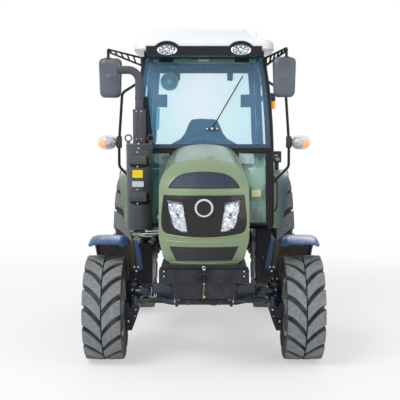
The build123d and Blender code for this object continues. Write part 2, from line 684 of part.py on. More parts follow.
def make_cab_frame():
    front = A_Y0 - 31
    wide_end = Y_REAR - 696
    frame = block(-CAB_BASE_HALF + 1, CAB_BASE_HALF - 1, front, wide_end, CAB_FLOOR_Z0, CAB_FLOOR_Z1)
    frame += block(-FENDER_X0, FENDER_X0, wide_end, 580, CAB_FLOOR_Z0, CAB_FLOOR_Z1)
    frame += block(-FENDER_X0, FENDER_X0, 550, 580, CAB_FLOOR_Z0, SEAT_DECK_Z)
    frame += block(-FENDER_X0, FENDER_X0, 550, C_Y + 20, SEAT_DECK_Z - 30, SEAT_DECK_Z)
    frame += block(-FENDER_X0, FENDER_X0, C_Y - 16, C_Y + 20, SEAT_DECK_Z, 1390)
    low, top = CAB_FLOOR_Z0, CAB_TOP_Z
    wall = [(face_y(low), low), (face_y(top), top), (rear_y(top), top), (rear_y(1340), 1340)]
    wall += [(400, 1300), (wide_end + 60, low)]
    wall_face = make_face(Polyline(*wall, close=True))
    wall_face -= offset(door_face(), DOOR_GAP, kind=Kind.INTERSECTION)
    wall_face -= quarter_face()
    for side in (1, -1):
        frame += side_sheet(side, wall_face, 0, SIDE_DEEP) - fender_drum()
    top_half, sill_half = cab_half(top) - 20, cab_half(SILL_Z) - 20
    frame += front_strip(top - HEADER, top, 56, top_half, top_half)
    frame += front_strip(SILL_Z - 34, SILL_Z, 44, sill_half, sill_half)
    frame += front_strip(CAB_FLOOR_Z1 - 6, SILL_Z - 20, 24, 300, 300)
    frame += rear_strip(top - HEADER, top, 56, top_half, top_half)
    frame += rear_strip(1385, 1430, 50, cab_half(1430) - 20, cab_half(1430) - 20)
    for side in (1, -1):
        frame += block(side * 100, side * 160, 60, 140, CAB_FLOOR_Z0 - 45, CAB_FLOOR_Z0)
        frame += block(side * 100, side * 150, 680, 760, 880, SEAT_DECK_Z - 30)
        y, z = HOOD_HINGE_Y, HOOD_HINGE_Z
        ear = block(side * 135, side * 147, y - 12, face_y(z) + 10, z - 44, z - 20)
        ear += block(side * 135, side * 147, y - 12, y + 12, z - 40, z)
        ear += rod((side * 135, y, z), (side * 147, y, z), 12)
        frame += ear + rod((side * 90, y, z), (side * 147, y, z), 6)
    for side in (1, -1):
        for z in HINGE_HEIGHTS:
            frame += hinge_barrel(side, z + 40 + FIT, z + 80)
            frame += side_sheet(side, hinge_leaf(z + 42, z + 78, 1), -14, 0)
    node("cab_frame", frame)


def hinge_point(side, z):
    return (side * (cab_half(z) + HINGE_OUT), B_Y - DOOR_GAP / 2, z)


def hinge_barrel(side, z0, z1):
    return rod(hinge_point(side, z0), hinge_point(side, z1), HINGE_R)


def hinge_leaf(z0, z1, way):
    """Leaf outline running back onto the pillar (way 1) or forward onto the door (way -1)."""
    y = B_Y - DOOR_GAP / 2
    return make_face(Polyline((y, z0), (y + way * 44, z0), (y + way * 44, z1), (y, z1), close=True))


def make_doors():
    outer = door_face()
    pane = offset(outer, -44, kind=Kind.INTERSECTION)
    rail = make_face(Polyline((-400, 1385), (900, 1385), (900, 1425), (-400, 1425), close=True))
    for name, side in (("left", 1), ("right", -1)):
        opening = pane - rail
        leaf = side_sheet(side, outer - opening, 0, DOOR_THICK)
        handle_y = face_y(1405) + A_DEEP + 60
        grip = Pos(handle_y + 65, 1405) * Rectangle(130, 26)
        leaf += side_sheet(side, grip, -16, 2)
        for z in HINGE_HEIGHTS:
            leaf += hinge_barrel(side, z, z + 40)
            leaf += side_sheet(side, hinge_leaf(z + 2, z + 38, -1), -14, 0)
        node(f"door_{name}", leaf)
        glass = side_sheet(side, opening, 6, 6 + GLASS)
        node(f"door_glass_{name}", glass)


def windshield_pane():
    top = CAB_TOP_Z - 8
    return front_strip(SILL_Z - 6, top, GLASS, cab_half(SILL_Z) - 12, cab_half(top) - 12, GLASS)


def make_glass():
    node("windshield", windshield_pane())
    z0, z1 = CAB_FLOOR_Z1, SILL_Z - 34
    low = front_strip(z0, z1, GLASS, cab_half(z0) - SIDE_DEEP, cab_half(z1) - SIDE_DEEP, -10)
    low -= block(-300, 300, -400, 400, 900, 1700)
    panes = low
    for side in (1, -1):
        panes += side_sheet(side, quarter_face(), 8, 8 + GLASS)
    node("cab_windows", panes)
    z0, z1 = 1392, CAB_TOP_Z - 12
    pane = rear_strip(z0, z1, GLASS, cab_half(z0) - 14, cab_half(z1) - 14, GLASS)
    node("rear_window", pane)


def make_fenders():
    x0, x1 = FENDER_X0, FENDER_X1
    r, w = FENDER_R, FENDER_WALL
    outline = [
        (x0, 430),
        (x0, r),
        (x1 - 24, r),
        (x1, r - 14),
        (x1, r - 40),
        (x1 - w, r - 40),
        (x1 - w, r - 20),
        (x1 - 30, r - w),
        (x0 + w, r - w),
        (x0 + w, 430),
    ]
    fender = spun(outline, 0, Y_REAR, WHEEL_Z, FENDER_START, FENDER_END - FENDER_START)
    crown_z = WHEEL_Z + r
    flare = [(FENDER_LOW_X, WHEEL_Z + 195), (x1, crown_z), (x1 + 50, crown_z), (x1 + 50, WHEEL_Z + 195)]
    fender -= along(flare, Y_REAR - r - 20, Y_REAR - 120)
    node("rear_fenders", both(fender))


# ---------------------------------------------------------------- roof
def make_roof():
    half, y0, y1 = ROOF_HALF, ROOF_Y0, ROOF_Y1
    slab = block(-half, half, y0, y1, ROOF_Z0 + 30, ROOF_Z1)
    slab = fillet(slab.edges().filter_by(Axis.Z), 110)
    slab = fillet(slab.faces().sort_by(Axis.Z)[-1].edges(), 62)
    crown = loft(
        [
            Plane(origin=(0, (y0 + y1) / 2, ROOF_Z1 - 4)) * RectangleRounded(930, y1 - y0 - 150, 90),
            Plane(origin=(0, (y0 + y1) / 2 + 10, ROOF_Z2)) * RectangleRounded(800, y1 - y0 - 420, 90),
        ],
        ruled=True,
    )
    roof = slab + fillet(crown.faces().sort_by(Axis.Z)[-1].edges(), 30)
    for x in (-448, 448):
        stub = extrude(Plane(origin=(x, y0 + 190, ROOF_Z1 - 30)) * Circle(17), 110, taper=6)
        roof += stub
    half = cab_half(CAB_TOP_Z)
    visor = make_visor()
    liner = block(-half, half, A_Y1 - 60, C_Y + 20, ROOF_Z0, ROOF_Z0 + 30)
    node("roof", roof - visor)
    node("roof_visor", visor + liner - work_lamp_solids())
    node("work_lamps", work_lamp_solids())


def make_visor():
    y0 = ROOF_Y0
    low, liner_z = VISOR_Z0, ROOF_Z0 + 30
    band = block(-VISOR_HALF, VISOR_HALF, y0 - 10, y0 + 60, low, low + 82)
    rear = A_Y1 - 60
    under = [(y0 + 40, low), (y0 + 60, liner_z), (rear, liner_z), (rear, liner_z - 15), (y0 + 160, low)]
    wedge = across(under, -460, 460)
    pods = None
    for x in (-WORK_LAMP_X, WORK_LAMP_X):
        plane = Plane(origin=(x, y0 + 60, WORK_LAMP_Z), x_dir=(1, 0, 0), z_dir=(0, -1, 0))
        pod = extrude(plane * Ellipse(108, 74), 76)
        pods = pod if pods is None else pods + pod
    return band + wedge + (pods & block(-600, 600, y0 - 100, y0 + 100, low, ROOF_Z2))


def work_lamp_solids():
    lamps = None
    for x in (-WORK_LAMP_X, WORK_LAMP_X):
        plane = Plane(origin=(x, ROOF_Y0 + 50, WORK_LAMP_Z), x_dir=(1, 0, 0), z_dir=(0, -1, 0))
        lamp = extrude(plane * Ellipse(80, 41), 74)
        lamps = lamp if lamps is None else lamps + lamp
    return lamps


# ---------------------------------------------------------------- cab interior
def make_interior():
    inner0, inner1 = face_y(CAB_FLOOR_Z1) + 24, face_y(SILL_Z - 34) + 24
    side = [
        (inner0, CAB_FLOOR_Z1),
        (-40, CAB_FLOOR_Z1),
        (60, 1250),
        (110, 1420),
        (90, 1520),
        (-20, SILL_Z - 34),
        (inner1, SILL_Z - 34),
    ]
    hx, hy, hz = WHEEL_HUB
    tilt = math.radians(WHEEL_TILT)
    down = (0, hy - 260 * math.sin(tilt), hz - 260 * math.cos(tilt))
    controls = across(side, -230, 230) + rod(down, WHEEL_HUB, 34)
    plane = Plane(origin=WHEEL_HUB, x_dir=(1, 0, 0), z_dir=(0, math.sin(tilt), math.cos(tilt)))
    wheel = plane * Torus(WHEEL_RIM_R, 14)
    wheel += extrude(plane * Circle(48), 26)
    for spoke in (-90, 30, 150):
        arm = Pos(WHEEL_RIM_R / 2 + 12, 0, 10) * Box(WHEEL_RIM_R - 30, 26, 10)
        wheel += plane * (Rot(0, 0, spoke) * arm)
    node("steering_wheel", wheel)
    base = block(-190, 190, 640, 980, SEAT_DECK_Z, SEAT_DECK_Z + 120)
    base += block(-130, 130, 700, 900, SEAT_DECK_Z + 120, 1300)
    base += block(-240, 240, 580, 960, 1280, 1300)
    base += across([(900, 1290), (1020, 1290), (1060, 1500), (1035, 1500)], -150, 150)
    node("seat_base", base)
    cushion = fillet(block(-245, 245, 560, 960, 1300, 1410).edges(), 30)
    half_rest = [(245, 1400), (225, 1640), (160, 1860), (120, 1890)]
    rest = along(half_rest + [(-x, z) for x, z in reversed(half_rest)], 840, 1075)
    back = rest & across([(860, 1395), (975, 1395), (1068, 1900), (965, 1900)], -300, 300)
    node("seat_cushion", (cushion + back) - base)
    console = block(-440, -290, 620, 1040, SEAT_DECK_Z, 1385) + rod((-365, 700, 1380), (-365, 680, 1500), 9)
    console += Pos(-365, 680, 1505) * Sphere(20)
    node("controls", controls + console)
    fan = rod((-345, 965, 2250), (-345, 1025, 2250), 88)
    fan += block(-365, -325, 990, 1062, 2320, CAB_TOP_Z - HEADER)
    node("cab_fan", fan)


# ---------------------------------------------------------------- mirrors, rails and lamps
def make_mirror(name, side):
    """Slotted arm, its foot on the A pillar, and the mirror's housing."""
    swing = math.radians(MIRROR_SWING[name])
    root_x = cab_half(2370) + 15
    out_x, out_y = math.cos(swing), -math.sin(swing)
    arm = [(0, 2316), (0, 2398), (MIRROR_ARM, 2458), (MIRROR_ARM + 14, 2428), (MIRROR_ARM - 16, 2422)]
    arm_face = make_face(Polyline(*arm, close=True))
    for k in range(4):
        x = 74 + 60 * k
        low, high = 2342 + x * 0.288, 2386 + x * 0.166
        hole = [(x - 24, low - 6), (x + 20, low + 6), (x + 20, high + 3), (x - 10, high - 3)]
        arm_face -= make_face(Polyline(*hole, close=True))
    plane = Plane(
        origin=(side * root_x, MIRROR_ROOT_Y, 0),
        x_dir=(side * out_x, out_y, 0),
        z_dir=(out_y, -side * out_x, 0),
    )
    body = extrude(plane * arm_face, 9, both=True)
    body += side_sheet(side, Pos(MIRROR_ROOT_Y, 2356) * Rectangle(40, 92), -22, 0)
    tip_x = side * (root_x + MIRROR_ARM * out_x)
    tip_y = MIRROR_ROOT_Y + MIRROR_ARM * out_y
    body += rod((tip_x, tip_y, 2370), (tip_x, tip_y, 2448), 12)
    head = Pos(tip_x - side * 16, tip_y, 2207) * Box(200, 62, 338)
    head = fillet(head.edges().filter_by(Axis.Y), 42)
    head = fillet(head.faces().sort_by(Axis.Y)[0].edges(), 24)
    node(f"mirror_{name}", body + head)


def make_rails():
    rails, lamps = None, None
    for side in (1, -1):
        upper = (side * (cab_half(2205) - 4), face_y(2205) + 22, 2205)
        lower = (side * (cab_half(1280) - 4), face_y(1280) + 18, 1280)
        points = [upper]
        points += [(side * x, RAIL_Y, z) for x, z in ((706, 2082), (736, LAMP_Z), (736, LAMP_Z - 210))]
        points.append(lower)
        rail = bent(points, RAIL_R, 60)
        rail += block(side * 712, side * 757, RAIL_Y - 20, RAIL_Y + 20, LAMP_Z - 48, LAMP_Z + 52)
        inside = side_sheet(side, Pos(0, 1750) * Rectangle(1200, 1200), 0, 60)
        rail -= inside
        rails = rail if rails is None else rails + rail
        long = LAMP_X1 - LAMP_X0
        egg = [(0, 0), (0, 34), (24, 55), (54, 65), (88, 68), (118, 62), (146, 45), (164, 24), (long, 0)]
        lamp = spun([(side * a, b) for a, b in egg], side * LAMP_X0, RAIL_Y, LAMP_Z)
        lamps = lamp if lamps is None else lamps + lamp
    node("lamp_rails", rails)
    node("turn_lamps", lamps)


def make_rear_lamps():
    cluster = block(690, 770, Y_REAR - 30, Y_REAR + 40, 1445, 1562)
    cluster += block(700, 745, Y_REAR - 6, Y_REAR + 16, 1300, 1450)
    lamps = both(cluster) - fender_drum()
    foot = Pos(C_Y - 28, 2085) * Rectangle(30, 60)
    for side in (1, -1):
        one = side_sheet(side, foot, -70, 0)
        one += block(side * 600, side * 668, C_Y - 46, C_Y - 10, 2062, 2112)
        one += rod((side * 676, C_Y - 28, 1978), (side * 676, C_Y - 28, 2070), 24)
        lamps += one
    node("rear_lamps", lamps)


def on_glass(x, z, out):
    return (x, face_y(z) - GLASS - out, z)


def make_wiper():
    hub, tip = (70, 1773), (338, 2232)
    mid = (190, 1979)
    wiper = rod(on_glass(*hub, 0), on_glass(*hub, 40), 15)
    for x in (28, 112):
        wiper += rod(on_glass(x, 1773, 0), on_glass(x, 1773, 20), 10)
    wiper += rod(on_glass(28, 1773, 10), on_glass(112, 1773, 10), 7)
    wiper += rod(on_glass(*hub, 32), on_glass(270, 2116, 18), 5)
    wiper += bar(on_glass(*mid, 11), on_glass(*tip, 11), 9, 18)
    wiper += rod(on_glass(270, 2116, 4), on_glass(270, 2116, 22), 7)
    node("wiper", wiper - windshield_pane())


# ---------------------------------------------------------------- steps and tank
def make_steps():
    steps = block(455, 610, -150, 140, 396, 408) + block(455, 610, -150, 140, 640, 652)
    for y in (-150, 132):
        steps += block(470, 590, y, y + 8, 396, CAB_FLOOR_Z0)
    node("steps", steps)


def make_tank():
    tank = fillet(block(-600, -440, -380, 150, 400, 800).edges().filter_by(Axis.Y), 60)
    for y in (-200, 60):
        tank += block(-560, -480, y, y + 40, 780, CAB_FLOOR_Z0)
    tank += rod((-520, -330, 795), (-520, -330, 836), 34)
    node("fuel_tank", tank)


# ---------------------------------------------------------------- rear hitch
def make_hitch():
    shaft = rod((-262, ROCK_Y, ROCK_Z), (262, ROCK_Y, ROCK_Z), 30)
    for side in (1, -1):
        x0, x1 = side * (LIFT_ARM_X - 12), side * (LIFT_ARM_X + 12)
        shaft += rod((x0, ROCK_Y, ROCK_Z), (x1, ROCK_Y, ROCK_Z), 48)
        shaft += bar((side * LIFT_ARM_X, ROCK_Y, ROCK_Z), (side * LIFT_ARM_X, *LIFT_TIP), 24, 56)
        shaft += rod((x0, *LIFT_TIP), (x1, *LIFT_TIP), 28)
        shaft += rod((x0, *LIFT_TIP), (side * (LIFT_ARM_X + 40), *LIFT_TIP), 10)
    node("lift_arms", shaft)
    rods, links = None, None
    for side in (1, -1):
        eye_x = side * (LIFT_ARM_X + 25)
        low = (eye_x + side * 6, LINK_PIN_Y + 380, LINK_END_Z + 14)
        one = rod((eye_x - side * 10, *LIFT_TIP), (eye_x + side * 10, *LIFT_TIP), 24)
        one += rod((eye_x, *LIFT_TIP), low, 11)
        middle = [(a + b) / 2 for a, b in zip((eye_x, *LIFT_TIP), low)]
        one += rod(middle, [m + (b - m) * 0.55 for m, b in zip(middle, low)], 19)
        one += rod((low[0] - side * 9, low[1], low[2]), (low[0] + side * 9, low[1], low[2]), 24)
        one -= rod((eye_x - side * 12, *LIFT_TIP), (eye_x + side * 12, *LIFT_TIP), 10 + FIT)
        rods = one if rods is None else rods + one
        a = (side * (LINK_X0 + 1), LINK_PIN_Y, LINK_PIN_Z)
        b = (side * LINK_X1, LINK_END_Y, LINK_END_Z)
        link = bar(a, b, 18, 56)
        link += rod((a[0] - side * 9, a[1], a[2]), (a[0] + side * 9, a[1], a[2]), 32)
        link += rod((b[0] - side * 17.5, b[1], b[2]), (b[0] + side * 17.5, b[1], b[2]), 28)
        link -= rod((a[0] - side * 12, a[1], a[2]), (a[0] + side * 12, a[1], a[2]), 14 + FIT)
        link -= rod((b[0] - side * 30, b[1], b[2]), (b[0] + side * 30, b[1], b[2]), LINK_HOLE_R)
        links = link if links is None else links + link
    node("lift_rods", rods)
    node("lower_links", links)
    draw = block(-40, 40, Y_REAR - 60, DRAWBAR_HOLE_Y + 50, DRAWBAR_Z0, DRAWBAR_Z1)
    draw += block(-62, 62, Y_REAR - 60, Y_REAR - 20, DRAWBAR_Z0 - 6, 440)
    draw += block(-62, 62, Y_REAR + 100, Y_REAR + 145, DRAWBAR_Z0 - 12, 440)
    draw -= rod((0, DRAWBAR_HOLE_Y, DRAWBAR_Z0 - 5), (0, DRAWBAR_HOLE_Y, DRAWBAR_Z1 + 5), 14)
    node("drawbar", draw)
    y, z = TOP_PIN_Y, TOP_PIN_Z
    top_y, top_z = y + 12, z + TOP_LINK
    link = rod((0, y, z), (0, top_y, top_z - 10), 13)
    link += rod((0, y + 3, z + 110), (0, y + 9, z + 410), 20)
    link += rod((-22, y, z), (22, y, z), 24) + rod((-22, top_y, top_z), (22, top_y, top_z), 26)
    link -= rod((-30, top_y, top_z), (30, top_y, top_z), 9.7)
    clip_z = top_z - 60
    link += block(-10, 10, y + 10, C_Y + 20, clip_z - 10, clip_z + 10)
    for side in (1, -1):
        link += block(side * 24, side * 34, Y_REAR + 150, y + 24, z - 26, z + 26)
    link += rod((-44, y, z), (44, y, z), 9.5)
    node("top_link", link)


def make_pin_cord():
    """Cord of the tow pin, tied to the apron's lower edge."""
    y = PLATE_Y0 - 14
    route = [(0, y, 690), (3, y, 664), (-5, y + 4, 626), (-6, y + 16.5, 578)]
    node("pin_cord", bent(route, 3.5, 45))


# ---------------------------------------------------------------- build and write
make_wheels()
make_axle_beam()
for guard_name, guard_side in (("left", 1), ("right", -1)):
    make_final_drive(guard_name, guard_side)
    make_front_guard(guard_name, guard_side)
    make_mirror(guard_name, guard_side)
make_steering()
make_front_support()
make_front_plate()
make_engine()
make_gearbox()
make_hood()
make_exhaust()
make_cab_frame()
make_doors()
make_glass()
make_fenders()
make_roof()
make_interior()
make_rails()
make_rear_lamps()
make_wiper()
make_steps()
make_tank()
make_hitch()
make_pin_cord()

for node_name, shape in NODES.items():
    export_step(shape, f"parts/{node_name}.step")
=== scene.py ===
"""Looks of a compact farm tractor with cab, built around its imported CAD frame.

Metres, +Z up, front towards -Y, +X is the driver's left.
"""

import json
import math
import random

import bmesh
import bpy
from mathutils import Matrix, Vector
from mathutils.bvhtree import BVHTree


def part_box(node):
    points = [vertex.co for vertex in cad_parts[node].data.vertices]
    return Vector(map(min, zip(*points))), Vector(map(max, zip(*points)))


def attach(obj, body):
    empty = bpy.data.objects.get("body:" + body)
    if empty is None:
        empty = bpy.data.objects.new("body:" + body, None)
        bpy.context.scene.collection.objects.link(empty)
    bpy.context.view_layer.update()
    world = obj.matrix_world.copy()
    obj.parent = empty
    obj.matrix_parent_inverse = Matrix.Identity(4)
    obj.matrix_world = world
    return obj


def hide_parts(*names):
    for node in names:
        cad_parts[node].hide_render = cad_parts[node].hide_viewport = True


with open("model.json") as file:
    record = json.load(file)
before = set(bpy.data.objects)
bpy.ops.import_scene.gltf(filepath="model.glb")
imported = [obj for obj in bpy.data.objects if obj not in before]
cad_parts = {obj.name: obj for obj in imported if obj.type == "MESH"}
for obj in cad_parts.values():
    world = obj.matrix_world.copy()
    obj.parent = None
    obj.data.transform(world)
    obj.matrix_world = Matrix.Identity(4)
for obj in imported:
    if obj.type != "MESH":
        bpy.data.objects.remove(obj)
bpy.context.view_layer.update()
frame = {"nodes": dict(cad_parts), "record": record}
random.seed(11)

SIDES = (("left", 1), ("right", -1))
TURN = math.tau


def middle(node):
    """Centre of a CAD node's box at rest."""
    low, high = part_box(node)
    return (Vector(low) + Vector(high)) / 2


# ---------------------------------------------------------------- camera and stage
FRONT_AXLE_Y = middle("tyre_front_left").y
REAR_AXLE_Y = middle("tyre_rear_left").y
CAMERA_BACK = 6.5  # camera to the front axle
CAMERA_HEIGHT = 1.72
CAMERA_PITCH = 4.36  # degrees down
CAMERA_LENS = 76.8
CAMERA_SHIFT_X = -0.01
WORLD_LEVEL = 0.55
FLOOR_NEAR, FLOOR_FAR = 2.4, 7.0  # the floor fades to white between these distances


def make_camera():
    """The photograph's view, from the front at a little over head height."""
    data = bpy.data.cameras.new("camera")
    data.lens = CAMERA_LENS
    data.sensor_width = 36
    data.shift_x = CAMERA_SHIFT_X
    data.clip_end = 200
    camera = bpy.data.objects.new("camera", data)
    camera.location = (0, FRONT_AXLE_Y - CAMERA_BACK, CAMERA_HEIGHT)
    camera.rotation_euler = (math.radians(90 - CAMERA_PITCH), 0, 0)
    bpy.context.collection.objects.link(camera)
    bpy.context.scene.camera = camera


def area_light(name, place, target, size, power):
    """Soft rectangular lamp, aimed at the target."""
    data = bpy.data.lights.new(name, "AREA")
    data.shape = "RECTANGLE"
    data.size, data.size_y = size
    data.energy = power
    lamp = bpy.data.objects.new(name, data)
    lamp.location = place
    lamp.rotation_euler = (Vector(target) - Vector(place)).to_track_quat("-Z", "Y").to_euler()
    bpy.context.collection.objects.link(lamp)


def seen_directly(nodes, links):
    """1 for camera, glossy and transmitted rays, which see the white surround."""
    path = nodes.new("ShaderNodeLightPath")
    share = path.outputs["Is Camera Ray"]
    for name in ("Is Transmission Ray", "Is Glossy Ray"):
        either = nodes.new("ShaderNodeMath")
        either.operation = "MAXIMUM"
        links.new(share, either.inputs[0])
        links.new(path.outputs[name], either.inputs[1])
        share = either.outputs[0]
    return share


def make_floor():
    """Pale floor that keeps the shadow and fades to white away from the object."""
    mesh = bpy.data.meshes.new("floor")
    half = 60.0
    mesh.from_pydata([(-half, -half, 0), (half, -half, 0), (half, half, 0), (-half, half, 0)], [],
                     [(0, 1, 2, 3)])
    floor = bpy.data.objects.new("floor", mesh)
    bpy.context.collection.objects.link(floor)
    paint = bpy.data.materials.new("floor")
    paint.use_nodes = True
    nodes, links = paint.node_tree.nodes, paint.node_tree.links
    shader = nodes["Principled BSDF"]
    shader.inputs["Base Color"].default_value = (0.96, 0.96, 0.96, 1)
    shader.inputs["Roughness"].default_value = 0.9
    shader.inputs["Specular IOR Level"].default_value = 0.1
    place = nodes.new("ShaderNodeTexCoord")
    length = nodes.new("ShaderNodeVectorMath")
    length.operation = "LENGTH"
    links.new(place.outputs["Object"], length.inputs[0])
    fade = nodes.new("ShaderNodeMapRange")
    fade.interpolation_type = "SMOOTHSTEP"
    fade.inputs["From Min"].default_value = FLOOR_NEAR
    fade.inputs["From Max"].default_value = FLOOR_FAR
    fade.inputs["To Min"].default_value = 0.5
    links.new(length.outputs["Value"], fade.inputs["Value"])
    share = nodes.new("ShaderNodeMath")
    share.operation = "MULTIPLY"
    links.new(fade.outputs["Result"], share.inputs[0])
    links.new(seen_directly(nodes, links), share.inputs[1])
    white = nodes.new("ShaderNodeEmission")
    white.inputs["Strength"].default_value = 1.0
    mix = nodes.new("ShaderNodeMixShader")
    links.new(share.outputs[0], mix.inputs[0])
    links.new(shader.outputs[0], mix.inputs[1])
    links.new(white.outputs[0], mix.inputs[2])
    links.new(mix.outputs[0], nodes["Material Output"].inputs["Surface"])
    mesh.materials.append(paint)


def make_world():
    """Pale even surround."""
    world = bpy.data.worlds.new("surround")
    bpy.context.scene.world = world
    world.use_nodes = True
    nodes, links = world.node_tree.nodes, world.node_tree.links
    nodes.clear()
    out = nodes.new("ShaderNodeOutputWorld")
    light = nodes.new("ShaderNodeBackground")
    light.inputs["Color"].default_value = (0.93, 0.96, 1.0, 1)
    light.inputs["Strength"].default_value = WORLD_LEVEL
    seen = nodes.new("ShaderNodeBackground")
    seen.inputs["Color"].default_value = (1, 1, 1, 1)
    seen.inputs["Strength"].default_value = 1.0
    mix = nodes.new("ShaderNodeMixShader")
    links.new(seen_directly(nodes, links), mix.inputs[0])
    links.new(light.outputs[0], mix.inputs[1])
    links.new(seen.outputs[0], mix.inputs[2])
    links.new(mix.outputs[0], out.inputs["Surface"])


make_camera()
make_floor()
make_world()
area_light("key", (-4.5, -6.0, 7.5), (0, 0, 0.9), (5, 4), 470)
area_light("fill", (6.0, -5.0, 4.0), (0, 0, 1.0), (4, 4), 70)
area_light("back", (1.0, 7.5, 6.0), (0, 0.5, 1.2), (6, 3), 200)
bpy.context.scene.view_settings.view_transform = "Standard"

# ---------------------------------------------------------------- cord of the tow pin
CORD_ROUTE = ((0, -1.736, 0.690), (0.003, -1.736, 0.664), (-0.005, -1.732, 0.626), (-0.006, -1.7195, 0.578))
CORD_RADIUS = 0.0035


def make_cord():
    """Limp cord of the tow pin, as a curve of one open spline."""
    data = bpy.data.curves.new("tow_pin_cord", "CURVE")
    data.dimensions = "3D"
    spline = data.splines.new("NURBS")
    spline.points.add(len(CORD_ROUTE) - 1)
    for point, place in zip(spline.points, CORD_ROUTE):
        point.co = (*place, 1)
        point.radius = CORD_RADIUS
    spline.order_u = 3
    spline.use_endpoint_u = True
    spline.resolution_u = 12
    data.bevel_depth = 1.0
    data.bevel_resolution = 3
    data.use_fill_caps = True
    cord = bpy.data.objects.new("tow_pin_cord", data)
    bpy.context.collection.objects.link(cord)
    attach(cord, "chassis")
    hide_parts("pin_cord")
    return cord


cord_piece = make_cord()


# ---------------------------------------------------------------- materials
def srgb(red, green, blue):
    """A colour as 0-255 display values, as the shader's linear ones."""
    def part(value):
        value /= 255
        return value / 12.92 if value <= 0.04045 else ((value + 0.055) / 1.055) ** 2.4
    return (part(red), part(green), part(blue), 1)


class Shader:
    """One procedural material: its nodes, and short ways to add more."""

    def __init__(self):
        self.material = bpy.data.materials.new("look")
        self.material.use_nodes = True
        self.nodes = self.material.node_tree.nodes
        self.links = self.material.node_tree.links
        self.bsdf = self.nodes["Principled BSDF"]
        self.place = self.nodes.new("ShaderNodeTexCoord").outputs["Object"]

    def put(self, socket, source):
        """A link from another node's socket, or a constant."""
        if isinstance(source, bpy.types.NodeSocket):
            self.links.new(source, socket)
        else:
            socket.default_value = source

    def feed(self, name, source):
        """A link or a constant into one of the shader's own sockets."""
        self.put(self.bsdf.inputs[name], source)

    def feed_patches(self, low, high):
        """Roughness in soft patches, from low to high."""
        self.feed("Roughness", self.span(self.noise(24, 3), 0.3, 0.7, low, high))

    def noise(self, scale, detail=4, roughness=0.55, stretch=None):
        """Cloudy noise over the piece, 0 to 1."""
        place = self.place
        if stretch:
            mapping = self.nodes.new("ShaderNodeMapping")
            mapping.inputs["Scale"].default_value = stretch
            self.links.new(place, mapping.inputs["Vector"])
            place = mapping.outputs["Vector"]
        node = self.nodes.new("ShaderNodeTexNoise")
        node.inputs["Scale"].default_value = scale
        node.inputs["Detail"].default_value = detail
        node.inputs["Roughness"].default_value = roughness
        self.links.new(place, node.inputs["Vector"])
        return node.outputs["Fac"]

    def span(self, source, low, high, new_low=0.0, new_high=1.0):
        """A range mapped on another one and held within it."""
        node = self.nodes.new("ShaderNodeMapRange")
        for socket, value in zip(("From Min", "From Max", "To Min", "To Max"),
                                 (low, high, new_low, new_high)):
            node.inputs[socket].default_value = value
        self.links.new(source, node.inputs["Value"])
        return node.outputs["Result"]

    def math(self, kind, first, second=0.0):
        """One sum of two sockets or numbers."""
        node = self.nodes.new("ShaderNodeMath")
        node.operation = kind
        self.put(node.inputs[0], first)
        self.put(node.inputs[1], second)
        return node.outputs[0]

    def mix(self, share, first, second):
        """Second colour over the first by a share."""
        node = self.nodes.new("ShaderNodeMix")
        node.data_type = "RGBA"
        self.put(node.inputs[0], share)
        self.put(node.inputs[6], first)
        self.put(node.inputs[7], second)
        return node.outputs[2]

    def axis(self, source, letter):
        """X, Y or Z of a vector socket."""
        node = self.nodes.new("ShaderNodeSeparateXYZ")
        self.links.new(source, node.inputs[0])
        return node.outputs[letter]

    def radius(self, y, z):
        """Distance from a line along X."""
        away = self.math("POWER", self.math("SUBTRACT", self.axis(self.place, "Y"), y), 2)
        up = self.math("POWER", self.math("SUBTRACT", self.axis(self.place, "Z"), z), 2)
        return self.math("SQRT", self.math("ADD", away, up))

    def normal(self):
        """The surface's direction."""
        return self.nodes.new("ShaderNodeNewGeometry").outputs["Normal"]

    def bump(self, height, strength, distance):
        """Fine relief from a height socket."""
        node = self.nodes.new("ShaderNodeBump")
        node.inputs["Strength"].default_value = strength
        node.inputs["Distance"].default_value = distance
        self.links.new(height, node.inputs["Height"])
        self.links.new(node.outputs["Normal"], self.bsdf.inputs["Normal"])

    def set(self, **values):
        """Constants, set directly on the shader's sockets."""
        for key, value in values.items():
            self.bsdf.inputs[key.replace("_", " ")].default_value = value


DUST = srgb(146, 144, 138)
TREAD_PALE = srgb(150, 153, 155)


